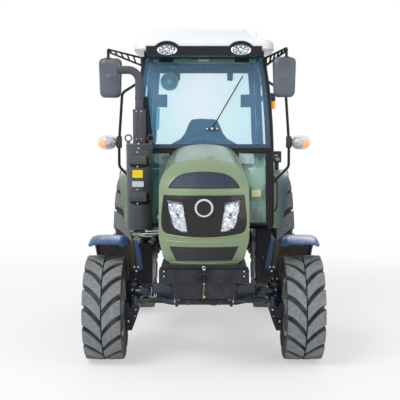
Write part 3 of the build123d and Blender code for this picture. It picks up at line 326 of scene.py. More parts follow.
def finish(colour, rough=0.45, spread=0.08, tone=0.12, scale=9.0, grain=160.0, bump=0.06, dust=0.0,
           dust_top=1.2, metal=0.0, coat=0.0, specular=0.5, tread=None, painted_shade=None):
    """Paint, metal or plastic: uneven tone, uneven gloss, fine surface grain, and road dust low down; the
    shaded colour, when given, is painted shade and sky reflection laid on front faces on the +X side.
    tread is a tyre's axle height, Y and radius of its carcass, for its paler lugs."""
    shader = Shader()
    cloud = shader.noise(scale, 5)
    colour = srgb(*colour)
    pale = [min(1, part * (1 + tone)) for part in colour[:3]] + [1]
    dark = [part * (1 - tone) for part in colour[:3]] + [1]
    tint = shader.mix(shader.span(cloud, 0.35, 0.65), dark, pale)
    # painted shade and sky reflection: front faces on the +X side take the given colour
    if painted_shade:
        front = shader.span(shader.axis(shader.normal(), "Y"), -0.40, -0.05, 1.0, 0.0)
        side = shader.span(shader.axis(shader.place, "X"), 0.66, 0.74)
        tint = shader.mix(shader.math("MULTIPLY", front, side), tint, srgb(*painted_shade))
    rough_cloud = shader.noise(scale * 4, 3)
    gloss = shader.span(rough_cloud, 0.3, 0.7, rough - spread, rough + spread)
    if dust > 0:
        height = shader.span(shader.axis(shader.place, "Z"), 0.15, dust_top, 1.0, 0.12)
        patches = shader.span(shader.noise(14, 7, 0.68), 0.36, 0.72)
        facing = shader.span(shader.axis(shader.normal(), "Z"), -0.2, 1.0, 0.5, 1.0)
        share = shader.math("MULTIPLY", shader.math("MULTIPLY", patches, height), facing)
        share = shader.math("MULTIPLY", share, dust)
        if tread:
            z, y, carcass = tread
            # lighter on the lugs' outer faces, in streaks
            on_lugs = shader.span(shader.radius(y, z), carcass + 0.004, carcass + 0.024)
            lug_streaks = shader.span(shader.noise(38, 6, 0.7), 0.25, 0.7, 0.40, 1.0)
            share = shader.math("MAXIMUM", share, shader.math("MULTIPLY", on_lugs, lug_streaks))
        tint = shader.mix(share, tint, TREAD_PALE if tread else DUST)
        gloss = shader.math("MAXIMUM", gloss, shader.span(share, 0, 0.5, 0, 0.85))
    shader.feed("Base Color", tint)
    shader.feed("Roughness", gloss)
    shader.bump(shader.noise(grain, 4), bump, 0.002)
    shader.set(Metallic=metal, Coat_Weight=coat, Coat_Roughness=0.05, Specular_IOR_Level=specular)
    return shader.material


def glass(colour, alpha, rough=0.03, ior=2.2):
    """Thin tinted pane: alpha is the share of each face that reflects its own colour."""
    shader = Shader()
    cloud = shader.noise(3, 3)
    colour = srgb(*colour)
    pale = [min(1, part * 1.12) for part in colour[:3]] + [1]
    shader.feed("Base Color", shader.mix(cloud, colour, pale))
    shader.feed_patches(rough, rough + 0.03)
    shader.set(Alpha=alpha, IOR=ior)
    return shader.material


def shade_and_reflection_glass(dark, pale, alpha):
    """Tinted pane with painted shade on the exhaust's side, and painted reflections as soft pale patches on
    the other.
    """
    shader = Shader()
    across = shader.axis(shader.place, "X")
    # painted reflections: soft pale patches, fading out towards the exhaust's side
    patches = shader.span(shader.noise(4.6, 3, 0.5, (1, 1, 0.7)), 0.42, 0.58)
    patches = shader.math("MULTIPLY", patches, shader.span(across, -0.30, 0.10, 0.12, 1.0))
    shader.feed("Base Color", shader.mix(patches, srgb(*dark), srgb(*pale)))
    shader.feed_patches(0.03, 0.07)
    # painted shade: more opaque and darker towards the exhaust's side
    shader.feed("Alpha", shader.span(across, -0.30, 0.10, 0.74, alpha))
    shader.set(IOR=1.9)
    return shader.material


def sky_glow_glass(tint, alpha, strength):
    """Pane with a painted glow of the sky behind it: green-blue at its sides, clear in the middle."""
    shader = Shader()
    across = shader.math("ABSOLUTE", shader.math("ADD", shader.axis(shader.place, "X"), 0.04))
    cloud = shader.math("MULTIPLY", shader.noise(2.2, 3), 0.22)
    side = shader.span(shader.math("ADD", across, cloud), 0.10, 0.52)
    sky = shader.mix(side, [1, 1, 1, 1], srgb(*tint))
    shader.feed("Base Color", sky)
    # painted light: the pane glows in the sky's colour
    shader.feed("Emission Color", sky)
    shader.feed_patches(0.03, 0.06)
    shader.set(Alpha=alpha, IOR=1.9, Emission_Strength=strength)
    return shader.material


def mesh_paint(dark, pale, pitch, rough=0.45):
    """Woven wire grille: dark holes between pale wires."""
    shader = Shader()
    dark, pale = srgb(*dark), srgb(*pale)
    hole = None
    for letter in "XZ":
        wave = shader.math("SINE", shader.math("MULTIPLY", shader.axis(shader.place, letter), TURN / pitch))
        wire = shader.span(wave, 0.1, 0.75)
        hole = wire if hole is None else shader.math("MAXIMUM", hole, wire)
    cloud = shader.noise(9, 4)
    wires = shader.mix(cloud, pale, [part * 0.75 for part in pale[:3]] + [1])
    shader.feed("Base Color", shader.mix(hole, dark, wires))
    shader.feed("Roughness", shader.span(cloud, 0.3, 0.7, rough - 0.08, rough + 0.08))
    shader.bump(hole, 0.8, 0.002)
    return shader.material


WHEEL_HEIGHT = {"front": middle("tyre_front_left").z, "rear": middle("tyre_rear_left").z}
RUBBER = (50, 48, 47)

# a finish: colour as display values, roughness and its spread, tone, cloud scale, grain, bump, dust
# a glass: colour and alpha
PAINT = {
    "green_paint": finish((128, 148, 114), 0.34, 0.05, 0.05, 3, 240, 0.02, 0.04, coat=0.35, specular=0.4),
    "white_plastic": finish((238, 240, 241), 0.36, 0.06, 0.02, 3, 220, 0.03, coat=0.2),
    "black_gloss": finish((30, 28, 28), 0.16, 0.05, 0.15, 4, 180, 0.02, 0.05, coat=0.1,
                          specular=0.3),
    "grille_black": mesh_paint((20, 22, 28), (52, 58, 72), 0.0105),
    "cab_paint": finish((16, 18, 25), 0.3, 0.06, 0.15, 4, 200, 0.03, 0.08, coat=0.1, specular=0.3),
    "chassis_paint": finish((26, 29, 37), 0.4, 0.1, 0.2, 8, 120, 0.10, 0.25, specular=0.35),
    "cast_paint": finish((26, 31, 40), 0.44, 0.1, 0.2, 10, 90, 0.22, 0.25, specular=0.35),
    "exhaust_paint": finish((80, 83, 89), 0.42, 0.08, 0.10, 6, 200, 0.06, specular=0.35),
    "dark_plastic": finish((58, 60, 66), 0.46, 0.08, 0.12, 6, 420, 0.12, 0.05, specular=0.4),
    "rim_paint": finish((206, 208, 206), 0.36, 0.08, 0.04, 5, 200, 0.04, 0.35),
    "tyre_rubber": finish(RUBBER, 0.78, 0.1, 0.18, 7, 260, 0.25, 0.85),
    "seat_fabric": finish((40, 44, 54), 0.85, 0.05, 0.15, 8, 600, 0.3),
    "bright_steel": finish((200, 202, 206), 0.25, 0.1, 0.06, 12, 300, 0.05, metal=1.0),
    "cord_fibre": finish((150, 138, 72), 0.85, 0.05, 0.15, 60, 900, 0.4),
    "cab_glass": glass((112, 172, 186), 0.10),
    "lamp_lens": glass((226, 234, 242), 0.1),
    "amber_lens": finish((255, 162, 22), 0.16, 0.04, 0.1, 40, 500, 0.1, coat=0.8),
    "windshield_glass": glass((112, 196, 252), 0.175),
    # painted glow of the sky behind the rear pane
    "rear_glass": sky_glow_glass((92, 246, 228), 0.15, 0.6),
    # painted shade on the exhaust's side, painted reflections on the other
    "low_glass": shade_and_reflection_glass((38, 84, 88), (186, 236, 220), 0.46),
    "quarter_glass": glass((110, 166, 172), 0.12),
    "chrome": finish((214, 218, 226), 0.16, 0.05, 0.04, 30, 300, 0.03, metal=1.0),
    # dark guard with the sky's reflection painted into its blue
    "guard_painted_sky_reflection": finish((44, 80, 130), 0.26, 0.05, 0.12, 4, 200, 0.0, 0.0, specular=0.35),
    # green with painted shade and sky reflection on the front of the fender on the +X side
    "fender_paint": finish((128, 148, 114), 0.38, 0.05, 0.05, 3, 240, 0.02, 0.06, coat=0.12, specular=0.4,
                           painted_shade=(62, 98, 112)),
    "rod_steel": finish((60, 65, 78), 0.3, 0.08, 0.15, 12, 200, 0.05, metal=0.5),
    "tank_paint": finish((26, 28, 34), 0.4, 0.08, 0.15, 8, 200, 0.05, 0.1, specular=0.35),
    "axle_blue": finish((36, 46, 66), 0.22, 0.05, 0.15, 8, 200, 0.03, 0.05, coat=0.3, specular=0.4),
    "mirror_shell": finish((88, 94, 104), 0.34, 0.06, 0.18, 3, 300, 0.04, coat=0.15),
    "mirror_silver": finish((205, 214, 222), 0.04, 0.01, 0.02, 5, 400, 0.01, metal=1.0),
    "yellow_plate": finish((250, 214, 20), 0.35, 0.05, 0.04, 20, 400, 0.03),
    "silver_plate": finish((206, 209, 214), 0.4, 0.08, 0.05, 30, 400, 0.05, metal=0.4),
    "red_lens": finish((178, 26, 22), 0.16, 0.04, 0.1, 40, 500, 0.1, coat=0.8),
    "rubber_seal": finish((20, 21, 24), 0.6, 0.08, 0.15, 20, 500, 0.15),
    # dark of panel seams and header recesses, and painted shadow on the silencer
    "dark_seam_and_shadow": finish((16, 17, 20), 0.7, 0.08, 0.2, 12, 300, 0.1),
    "header_cloth": finish((104, 142, 128), 0.8, 0.05, 0.1, 14, 500, 0.3),
    "light_green": finish((158, 190, 146), 0.4, 0.06, 0.06, 12, 300, 0.05),
    "pale_hose": finish((214, 214, 208), 0.5, 0.06, 0.05, 30, 400, 0.05),
    "grille_wire": finish((70, 80, 106), 0.45, 0.08, 0.12, 10, 300, 0.05),
    "inlet_wire": finish((44, 46, 40), 0.5, 0.08, 0.12, 10, 300, 0.05),
    "frosted_bulb": glass((250, 250, 250), 0.5, 0.3, 1.5),
    "lamp_lid": finish((42, 62, 92), 0.12, 0.04, 0.1, 12, 300, 0.03, coat=0.6),
    "blue_band": finish((38, 62, 96), 0.25, 0.05, 0.1, 8, 300, 0.03, coat=0.3),
    "grey_trim": finish((150, 152, 154), 0.5, 0.08, 0.08, 8, 300, 0.06),
    "clear_lens": glass((236, 238, 240), 0.18, 0.05, 1.9),
    "brown_under": finish((84, 74, 66), 0.8, 0.08, 0.2, 12, 200, 0.2, 0.5),
    "pink_cap": finish((224, 206, 202), 0.4, 0.06, 0.05, 30, 400, 0.05),
    "fan_pale": finish((206, 238, 246), 0.4, 0.06, 0.05, 30, 400, 0.05),
    "pale_strap": finish((128, 206, 222), 0.5, 0.06, 0.1, 40, 400, 0.1),
    "pale_tag": finish((250, 250, 186), 0.5, 0.06, 0.05, 30, 400, 0.05),
}
for end, axle_y, carcass in (("front", FRONT_AXLE_Y, 0.371), ("rear", REAR_AXLE_Y, 0.617)):
    PAINT[f"tread_{end}"] = finish(RUBBER, 0.8, 0.08, 0.16, 7, 260, 0.25, 0.8,
                                   tread=(WHEEL_HEIGHT[end], axle_y, carcass))
for name, material in PAINT.items():
    material.name = name

glow = PAINT["amber_lens"].node_tree.nodes["Principled BSDF"].inputs
glow["Emission Color"].default_value = srgb(255, 150, 16)
glow["Emission Strength"].default_value = 0.45

NODE_PAINT = {
    "windshield": "windshield_glass",
    "front_guard_left": "guard_painted_sky_reflection",
    "front_guard_right": "guard_painted_sky_reflection",
    "steering_rod": "rod_steel",
    "rear_fenders": "fender_paint",
    "fuel_tank": "tank_paint",
}
cord_piece.data.materials.append(PAINT["cord_fibre"])
for row in frame["record"]["subparts"]:
    carried = frame["nodes"][row["node"]]
    carried.data.materials.clear()
    carried.data.materials.append(PAINT[NODE_PAINT.get(row["node"], row["material_slot"])])


# ---------------------------------------------------------------- mesh tools
def frame_at(place, x_axis, z_axis):
    """Matrix of a local frame: z_axis exactly, x_axis as near as it can be."""
    z = Vector(z_axis).normalized()
    x = Vector(x_axis)
    x = (x - z * x.dot(z)).normalized()
    y = z.cross(x)
    matrix = Matrix((x, y, z)).transposed().to_4x4()
    matrix.translation = Vector(place)
    return matrix


def upright(place):
    """Local z up, local x along X."""
    return frame_at(place, (1, 0, 0), (0, 0, 1))


def facing_back(place):
    """Local z to the rear, local x along X."""
    return frame_at(place, (1, 0, 0), (0, 1, 0))


def evenly(first, last, parts):
    """Numbers from first to last in equal steps."""
    return [first + (last - first) * k / parts for k in range(parts + 1)]


def around(parts, phase=0.0):
    """Cosine and sine of so many even turns, the first one a phase of a step in."""
    return [(math.cos(TURN * (k + phase) / parts),
             math.sin(TURN * (k + phase) / parts)) for k in range(parts)]


def along_x(place, side=1):
    """Local z along X (to the side), local x forward."""
    return frame_at(place, (0, -1, 0), (side, 0, 0))


def facing_front(place, tilt=0.0):
    """Local x along X, local y up, local z towards the front."""
    return frame_at(place, (1, 0, 0), (0, -math.cos(tilt), math.sin(tilt)))


def smooth_path(points, steps=6, closed=False):
    """Catmull-Rom curve through the points."""
    points = [Vector(p) for p in points]
    if len(points) < 3:
        return points
    count = len(points)
    path = []
    for k in range(count if closed else count - 1):
        if closed:
            a, b, c, d = (points[(k + j) % count] for j in (-1, 0, 1, 2))
        else:
            a, b, c, d = points[max(k - 1, 0)], points[k], points[k + 1], points[min(k + 2, count - 1)]
        for j in range(steps):
            t = j / steps
            path.append(0.5 * (2 * b + (c - a) * t + (2 * a - 5 * b + 4 * c - d) * t**2
                               + (3 * b - a - 3 * c + d) * t**3))
    if not closed:
        path.append(points[-1])
    return path


def forms(count):
    """So many empty forms."""
    return [Form() for _ in range(count)]


class Form:
    """A mesh gathered from simple shapes before it becomes one piece."""

    def __init__(self):
        self.bm = bmesh.new()

    def take(self, part, matrix=None):
        if matrix is not None:
            bmesh.ops.transform(part, matrix=matrix, verts=part.verts)
        bmesh.ops.recalc_face_normals(part, faces=part.faces)
        held = bpy.data.meshes.new("held")
        part.to_mesh(held)
        part.free()
        self.bm.from_mesh(held)
        bpy.data.meshes.remove(held)
        return self

    def box(self, low, high, edge=0.0, steps=2, matrix=None):
        """Block between two corners with rounded edges."""
        low, high = Vector(low), Vector(high)
        part = bmesh.new()
        bmesh.ops.create_cube(part, size=1)
        for v in part.verts:
            v.co = [(a + b) / 2 + c * (b - a) for a, b, c in zip(low, high, v.co)]
        if edge:
            bmesh.ops.bevel(part, geom=part.edges[:], offset=edge, segments=steps, affect="EDGES",
                            profile=0.5)
        return self.take(part, matrix)

    def plate(self, outline, low, high, edge=0.0, steps=2, matrix=None, all_edges=False):
        """Outline of (x, y) points carried from low to high along z, with its rims rounded."""
        part = bmesh.new()
        rings = [[part.verts.new((x, y, z)) for x, y in outline] for z in (low, high)]
        part.faces.new(reversed(rings[0]))
        part.faces.new(rings[1])
        count = len(outline)
        for k in range(count):
            j = (k + 1) % count
            part.faces.new((rings[0][k], rings[0][j], rings[1][j], rings[1][k]))
        if edge:
            part.edges.ensure_lookup_table()
            rims = [e for e in part.edges if all_edges or abs(e.verts[0].co.z - e.verts[1].co.z) < 1e-7]
            bmesh.ops.bevel(part, geom=rims, offset=edge, segments=steps, affect="EDGES", profile=0.5,
                            clamp_overlap=True)
        return self.take(part, matrix)

    def lathe(self, profile, matrix, turns=32, closed=True, arc=TURN, start=0.0):
        """Profile of (offset along z, radius) points turned about the local z axis."""
        part = bmesh.new()
        full = abs(arc - TURN) < 1e-6
        stations = turns if full else turns + 1
        rings = []
        for k in range(stations):
            a = start + arc * k / turns
            rings.append([part.verts.new((r * math.cos(a), r * math.sin(a), z)) for z, r in profile])
        count = len(profile)
        for k in range(turns):
            one, two = rings[k], rings[(k + 1) % stations]
            for j in range(count if closed else count - 1):
                i = (j + 1) % count
                part.faces.new((one[j], one[i], two[i], two[j]))
        if closed and not full:
            part.faces.new(rings[0])
            part.faces.new(reversed(rings[-1]))
        bmesh.ops.remove_doubles(part, verts=part.verts, dist=1e-6)
        bmesh.ops.dissolve_degenerate(part, edges=part.edges, dist=1e-7)
        return self.take(part, matrix)

    def tube(self, points, radius, sides=8, closed=False, flat=1.0):
        """Round bar along a path; radius is a number or one per point; flat squashes it along its normal."""
        points = [Vector(p) for p in points]
        count = len(points)
        radii = radius if isinstance(radius, (list, tuple)) else [radius] * count
        part = bmesh.new()
        rings = []
        normal = None
        for k, p in enumerate(points):
            if closed:
                way = points[(k + 1) % count] - points[k - 1]
            else:
                way = points[min(k + 1, count - 1)] - points[max(k - 1, 0)]
            way.normalize()
            if normal is None:
                normal = way.orthogonal().normalized()
            normal = (normal - way * normal.dot(way)).normalized()
            across = way.cross(normal)
            rings.append([part.verts.new(p + (normal * math.cos(TURN * j / sides) * flat
                                              + across * math.sin(TURN * j / sides)) * radii[k])
                          for j in range(sides)])
        for k in range(count if closed else count - 1):
            one, two = rings[k], rings[(k + 1) % count]
            shift = 0
            if closed and k == count - 1:
                shift = min(range(sides), key=lambda s: (one[0].co - two[s].co).length)
            for j in range(sides):
                part.faces.new((one[j], one[(j + 1) % sides], two[(j + 1 + shift) % sides],
                                two[(j + shift) % sides]))
        if not closed:
            part.faces.new(reversed(rings[0]))
            part.faces.new(rings[-1])
        return self.take(part)

    def strip(self, rows, closed=False, thick=0.0):
        """Sheet through rows of points; thick gives it a back, that far along its normals."""
        part = bmesh.new()
        made = [[part.verts.new(p) for p in row] for row in rows]
        width = len(rows[0])
        for one, two in zip(made, made[1:] + (made[:1] if closed else [])):
            for j in range(width - 1):
                part.faces.new((one[j], one[j + 1], two[j + 1], two[j]))
        if thick:
            bmesh.ops.recalc_face_normals(part, faces=part.faces)
            bmesh.ops.solidify(part, geom=part.faces[:], thickness=thick)
        return self.take(part)

    def loft(self, rings, caps=True):
        """Closed rings of equal count joined in order."""
        part = bmesh.new()
        made = [[part.verts.new(p) for p in ring] for ring in rings]
        count = len(rings[0])
        for one, two in zip(made, made[1:]):
            for j in range(count):
                part.faces.new((one[j], one[(j + 1) % count], two[(j + 1) % count], two[j]))
        if caps:
            part.faces.new(reversed(made[0]))
            part.faces.new(made[-1])
        return self.take(part)

    def bolt(self, place, way, across=0.018, high=0.008, washer=0.0):
        """Hexagon head with a rounded top, on a washer."""
        matrix = frame_at(place, Vector(way).orthogonal(), way)
        r = across / 1.732
        self.lathe([(0, 0), (0, r), (high * 0.75, r), (high, r * 0.82), (high, 0)], matrix, 6)
        if washer:
            self.lathe([(0, 0), (0, washer), (0.0016, washer), (0.0022, washer * 0.9), (0.0022, 0)], matrix,
                       20)
        return self

    def dome(self, place, way, radius, high):
        """Round button head."""
        matrix = frame_at(place, Vector(way).orthogonal(), way)
        profile = [(0, 0), (0, radius)]
        profile += [(high * math.sin(a), radius * math.cos(a)) for a in (0.3, 0.7, 1.1, 1.4)]
        return self.lathe(profile + [(high, 0)], matrix, 16)

    def piece(self, name, look, body="chassis", angle=35, replaces=()):
        """The gathered mesh as an object that rides on a body; look is one of PAINT's names."""
        mesh = bpy.data.meshes.new(name)
        self.bm.to_mesh(mesh)
        self.bm.free()
        for polygon in mesh.polygons:
            polygon.use_smooth = True
        mesh.set_sharp_from_angle(angle=math.radians(angle))
        made = bpy.data.objects.new(name, mesh)
        bpy.context.collection.objects.link(made)
        mesh.materials.append(PAINT[look])
        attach(made, body)
        if replaces:
            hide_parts(*replaces)
        return made


# ---------------------------------------------------------------- wheels
# radius over the lugs, half width, rim seat radius, half rim width, lug height, lugs on each half
WHEELS = {
    "front": (0.399, 0.140, 0.203, 0.114, 0.028, 16),
    "rear": (0.655, 0.1725, 0.356, 0.145, 0.038, 18),
}


LUG_REACH = 0.93  # a lug's length round the tyre, by half width


def crown_drop(share):
    """How far the tread falls below its middle, by share of the half width."""
    return 0.006 * share**2 + (0.020 * ((share - 0.72) / 0.28) ** 2 if share > 0.72 else 0)


def carcass_profile(size):
    """Smooth cross-section of the carcass with beads, bulged walls and raised rings."""
    r, w, seat, rim, lug, _ = WHEELS[size]
    tread = r - lug
    half = [(0, tread)]
    half += [(w * s, tread - crown_drop(s)) for s in (0.3, 0.55, 0.75, 0.86)]
    half += [(w * 0.93, tread - 0.030 * r / 0.4), (w * 0.965, tread - 0.052 * r / 0.4)]
    wall = (tread - 0.052 * r / 0.4) - (seat + 0.03)
    for share, out in ((0.25, 0.985), (0.28, 0.995), (0.31, 0.985), (0.55, 0.975), (0.72, 0.93),
                       (0.75, 0.945), (0.78, 0.925), (0.9, 0.87)):
        half.append((w * out, seat + 0.03 + wall * (1 - share)))
    half += [(rim + 0.006, seat + 0.022), (rim, seat + 0.012), (rim, seat)]
    back = [(-a, b) for a, b in reversed(half[1:])]
    return half + back


def wheel_point(x, arc, radius, size, centre, side, half):
    """Point on the tread: x from the middle of the tyre, arc forward of the top."""
    a = arc / WHEELS[size][0]
    return Vector((centre.x + side * half * x, centre.y - radius * math.sin(a),
                   centre.z + radius * math.cos(a)))


def lug_sweep(t):
    """Share of a lug's forward reach, t from its shoulder to its tip."""
    return 0.42 * t + 0.58 * t**1.9


def lug_rings(size, centre, side, half, turn):
    """Swept lug: flat at the shoulder, steeper towards its tip at the middle of the tread."""
    r, w, _, _, lug, lugs = WHEELS[size]
    tread = r - lug
    reach = LUG_REACH * w
    rings = []
    for k in range(9):
        t = k / 8
        x = w * (1 - t) + 0.005 * t
        arc = turn * r + reach * lug_sweep(t)
        share = max(0.0, x / w)
        top = r - 0.004 * share**2
        low = tread - crown_drop(share) - (0.022 if k == 0 else 0.010 if k == 1 else 0.004)
        half_top = TURN * r / lugs * (0.345 - 0.035 * t)
        ring = []
        for way, out, high in ((-1, 0.012, low), (-1, 0.005, top - 0.35 * lug), (-1, 0.0012, top - 0.003),
                               (-1, -0.002, top), (1, -0.002, top), (1, 0.0012, top - 0.003),
                               (1, 0.005, top - 0.35 * lug), (1, 0.012, low)):
            ring.append(wheel_point(x, arc + way * (half_top + out), high, size, centre, side, half))
        rings.append(ring)
    return rings


def tread_line(form, size, centre, side, half, turn, radius_up):
    """Thin raised line on the carcass between two lugs."""
    r, w, _, _, lug, _ = WHEELS[size]
    points = []
    for k in range(7):
        t = k / 6
        x = w * 0.86 * (1 - t) + 0.012 * t
        arc = turn * r + LUG_REACH * w * lug_sweep(t)
        points.append(wheel_point(x, arc, r - lug - crown_drop(x / w) + radius_up, size, centre, side, half))
    form.tube(points, 0.0022, 4)


def make_tyre(size, name, side):
    """Carcass and bent lugs of one tyre, in place of the plain solid."""
    r, w, _, _, _, lugs = WHEELS[size]
    node = f"tyre_{size}_{name}"
    centre = middle(node)
    form = Form()
    form.lathe(carcass_profile(size), along_x(centre, side), 120 if size == "rear" else 96)
    lowest = math.pi - (LUG_REACH + 0.17) * w / r
    for half, shift in ((1, 0), (-1, 0.5)):
        for k in range(lugs):
            turn = lowest + TURN * (k + shift) / lugs
            form.loft(lug_rings(size, centre, side, half, turn))
            tread_line(form, size, centre, side, half, turn + TURN * 0.5 / lugs, 0.001)
    form.piece(f"tyre_{size}_{name}_tread", f"tread_{size}", f"wheel_{size}_{name}", 28, (node,))


def make_hub(size, name, side):
    """Wheel nuts, hub cover and valve on the rim's outer face."""
    _, _, seat, rim, _, _ = WHEELS[size]
    centre = middle(f"tyre_{size}_{name}")
    disc_x = 0.722 if size == "front" else 0.628
    hub_end = disc_x + 0.034
    face = disc_x + 0.012
    plate_r = seat * 0.62
    nuts, bolt_ring = (6, 0.098) if size == "front" else (8, 0.155)
    way = Vector((side, 0, 0))
    steel, cover, tube = forms(3)

    def at(x, radius, turn):
        return Vector((side * x, centre.y + radius * math.sin(turn), centre.z + radius * math.cos(turn)))

    for k in range(nuts):
        turn = TURN * (k + 0.5) / nuts
        steel.lathe([(0, 0), (0, 0.021), (0.004, 0.019), (0.004, 0)],
                    along_x(at(face, bolt_ring, turn), side), 20)
        steel.bolt(at(face + 0.004, bolt_ring, turn), way, 0.027, 0.016)
        steel.lathe([(0, 0), (0, 0.007), (0.030, 0.007), (0.033, 0.005), (0.033, 0)],
                    along_x(at(face, bolt_ring, turn), side), 12)
    steel.piece(f"wheel_nuts_{size}_{name}", "bright_steel", f"wheel_{size}_{name}")
    big = 0.070 if size == "front" else 0.092
    cap = [(0, 0), (0, big + 0.012), (0.005, big + 0.010), (0.008, big), (0.020, big - 0.006),
           (0.028, big - 0.02), (0.031, big * 0.45), (0.033, 0)]
    cover.lathe(cap, along_x((side * (hub_end - 0.018), centre.y, centre.z), side), 40)
    for k in range(6):
        turn = TURN * k / 6
        cover.bolt(at(hub_end - 0.013, big + 0.002, turn), way, 0.012, 0.007)
    cover.dome((side * (hub_end + 0.014), centre.y, centre.z), way, 0.016, 0.006)
    cover.piece(f"hub_cover_{size}_{name}", "cast_paint", f"wheel_{size}_{name}")
    ridge = seat - 0.012
    for edge in (-1, 1):
        matrix = along_x((centre.x + side * edge * (rim - 0.022), centre.y, centre.z), side)
        tube.lathe([(-0.012, ridge), (-0.006, ridge - 0.008), (0.006, ridge - 0.008), (0.012, ridge)], matrix,
                   64)
        matrix = along_x((centre.x + side * edge * (rim + 0.009), centre.y, centre.z), side)
        lip = seat + 0.018
        tube.lathe([(-0.004, lip - 0.006), (-0.004, lip), (0.0, lip), (0.0, lip - 0.006)], matrix, 64)
    for k in range(10):
        turn = TURN * (k + 0.25) / 10
        radius = (plate_r + seat) / 2 - 0.002
        tube.lathe([(0, 0.013), (0.002, 0.017), (0.0035, 0.017), (0.0035, 0.013)],
                   along_x(at(face + 0.018, radius, turn), side), 16)
    stem = at(face + 0.02, seat - 0.02, 0.35)
    tube.tube([stem, stem + way * 0.02, stem + way * 0.034], [0.006, 0.0045, 0.004], 10)
    tube.piece(f"rim_trim_{size}_{name}", "rim_paint", f"wheel_{size}_{name}")


for size in WHEELS:
    for name, side in SIDES:
        make_tyre(size, name, side)
        make_hub(size, name, side)


# ---------------------------------------------------------------- nose and hood
NOSE_NODES = ("hood", "nose_mask", "headlamps", "hood_grilles")


def skin_tree(nodes):
    """Search tree over CAD nodes, for laying detail on their surface."""
    points, faces = [], []
    for name in nodes:
        mesh = frame["nodes"][name].data
        start = len(points)
        points += [v.co.copy() for v in mesh.vertices]
        faces += [[start + k for k in p.vertices] for p in mesh.polygons]
    return BVHTree.FromPolygons(points, faces)


NOSE = skin_tree(NOSE_NODES)


def nose_point(x, z, lift=0.0):
    """Point on the nose straight behind (x, z) of the front view, lifted off along its normal."""
    place, normal, _, _ = NOSE.ray_cast(Vector((x, -4, z)), Vector((0, 1, 0)))
    if place is None:
        place, normal, _, _ = NOSE.find_nearest(Vector((x, -1.5, z)))
    if normal.y > 0:
        normal = -normal
    return place + normal * lift


def flank_point(side, y, z, lift=0.0):
    """Point on the hood's flank straight beside (y, z)."""
    place, normal, _, _ = NOSE.ray_cast(Vector((side * 2, y, z)), Vector((-side, 0, 0)))
    if place is None:
        place, normal, _, _ = NOSE.find_nearest(Vector((side * 0.32, y, z)))
    if normal.x * side < 0:
        normal = -normal
    return place + normal * lift


def dense(outline, step, closed=True):
    """The same outline with points no further apart than the step."""
    out = []
    count = len(outline)
    for k in range(count if closed else count - 1):
        a, b = Vector(outline[k]), Vector(outline[(k + 1) % count])
        parts = max(1, math.ceil((b - a).length / step))
        out += [a.lerp(b, j / parts) for j in range(parts)]
    if not closed:
        out.append(Vector(outline[-1]))
    return out


def skin_patch(form, outline, point, lift, depth, rings=5, step=0.014):
    """Plate lying on a skin: its outline drawn in to the middle in rings, with a rim that deep behind it."""
    rim = dense(outline, step)
    centre = sum(rim, Vector((0, 0))) / len(rim)
    rows = [[point(*p, lift - depth) for p in rim]]
    for k in range(rings):
        share = 1 - k / rings
        rows.append([point(*(centre + (p - centre) * share), lift) for p in rim])
    part = bmesh.new()
    made = [[part.verts.new(p) for p in row] for row in rows]
    tip = part.verts.new(point(*centre, lift))
    count = len(rim)
    for one, two in zip(made, made[1:]):
        for j in range(count):
            part.faces.new((one[j], one[(j + 1) % count], two[(j + 1) % count], two[j]))
    for j in range(count):
        part.faces.new((made[-1][j], made[-1][(j + 1) % count], tip))
    form.take(part)


MASK_LOW, MASK_HIGH = 1.004, 1.294
GRILLE_LOW, GRILLE_HIGH = 1.342, 1.459
INLET_LOW, INLET_HIGH = 0.838, 0.932
LAMP_EDGE = ((0.263, 1.265), (0.149, 1.246), (0.114, 1.038), (0.162, 1.040), (0.211, 1.064), (0.238, 1.110),
             (0.254, 1.190))
BADGE = (0.0, 1.209)
BADGE_RADIUS = 0.065


def arch_top(x):
    """Upper edge of the upper grille."""
    z = GRILLE_HIGH - 0.008 * (x / 0.11) ** 2
    if abs(x) > 0.11:
        share = (abs(x) - 0.11) / 0.148
        z = GRILLE_HIGH - 0.008 - 0.109 * (0.25 * share + 0.75 * share**2.6)
    return z


def grille_outline(inset=0.0):
    """Upper grille's arch, drawn in by the inset."""
    top = [(x, arch_top(x) - inset) for x in [0.256 - 0.512 * k / 32 for k in range(33)]]
    shrink = (0.256 - inset * 1.6) / 0.256
    top = [(x * shrink, max(z, GRILLE_LOW + inset)) for x, z in top]
    return top


def on_nose_line(points, lift):
    """Points of the front view laid on the nose."""
    return [nose_point(x, z, lift) for x, z in points]


def make_upper_grille():
    """Rows of fine louvre wire on the upper grille, and its rim."""
    wires, rim = forms(2)
    z = GRILLE_LOW + 0.010
    while z < GRILLE_HIGH - 0.006:
        reach = max([x for x in [0.002 * k for k in range(129)] if arch_top(x) > z + 0.004] or [0]) - 0.010
        if reach > 0.02:
            line = [(-reach + 2 * reach * k / 26, z) for k in range(27)]
            wires.tube(on_nose_line(line, 0.0012), 0.0021, 5)
        z += 0.0105
    for k in range(-23, 24):
        x = 0.0105 * k
        top = arch_top(x) - 0.008
        if top - GRILLE_LOW > 0.02:
            line = [(x, GRILLE_LOW + 0.006 + (top - GRILLE_LOW - 0.006) * j / 6) for j in range(7)]
            wires.tube(on_nose_line(line, 0.0006), 0.0012, 4)
    wires.piece("upper_grille_wires", "grille_wire", "hood")
    edge = dense(grille_outline(0.003), 0.012)
    rim.tube(on_nose_line(edge, 0.0005), 0.0038, 6, closed=True)
    rim.piece("upper_grille_rim", "dark_plastic", "hood")


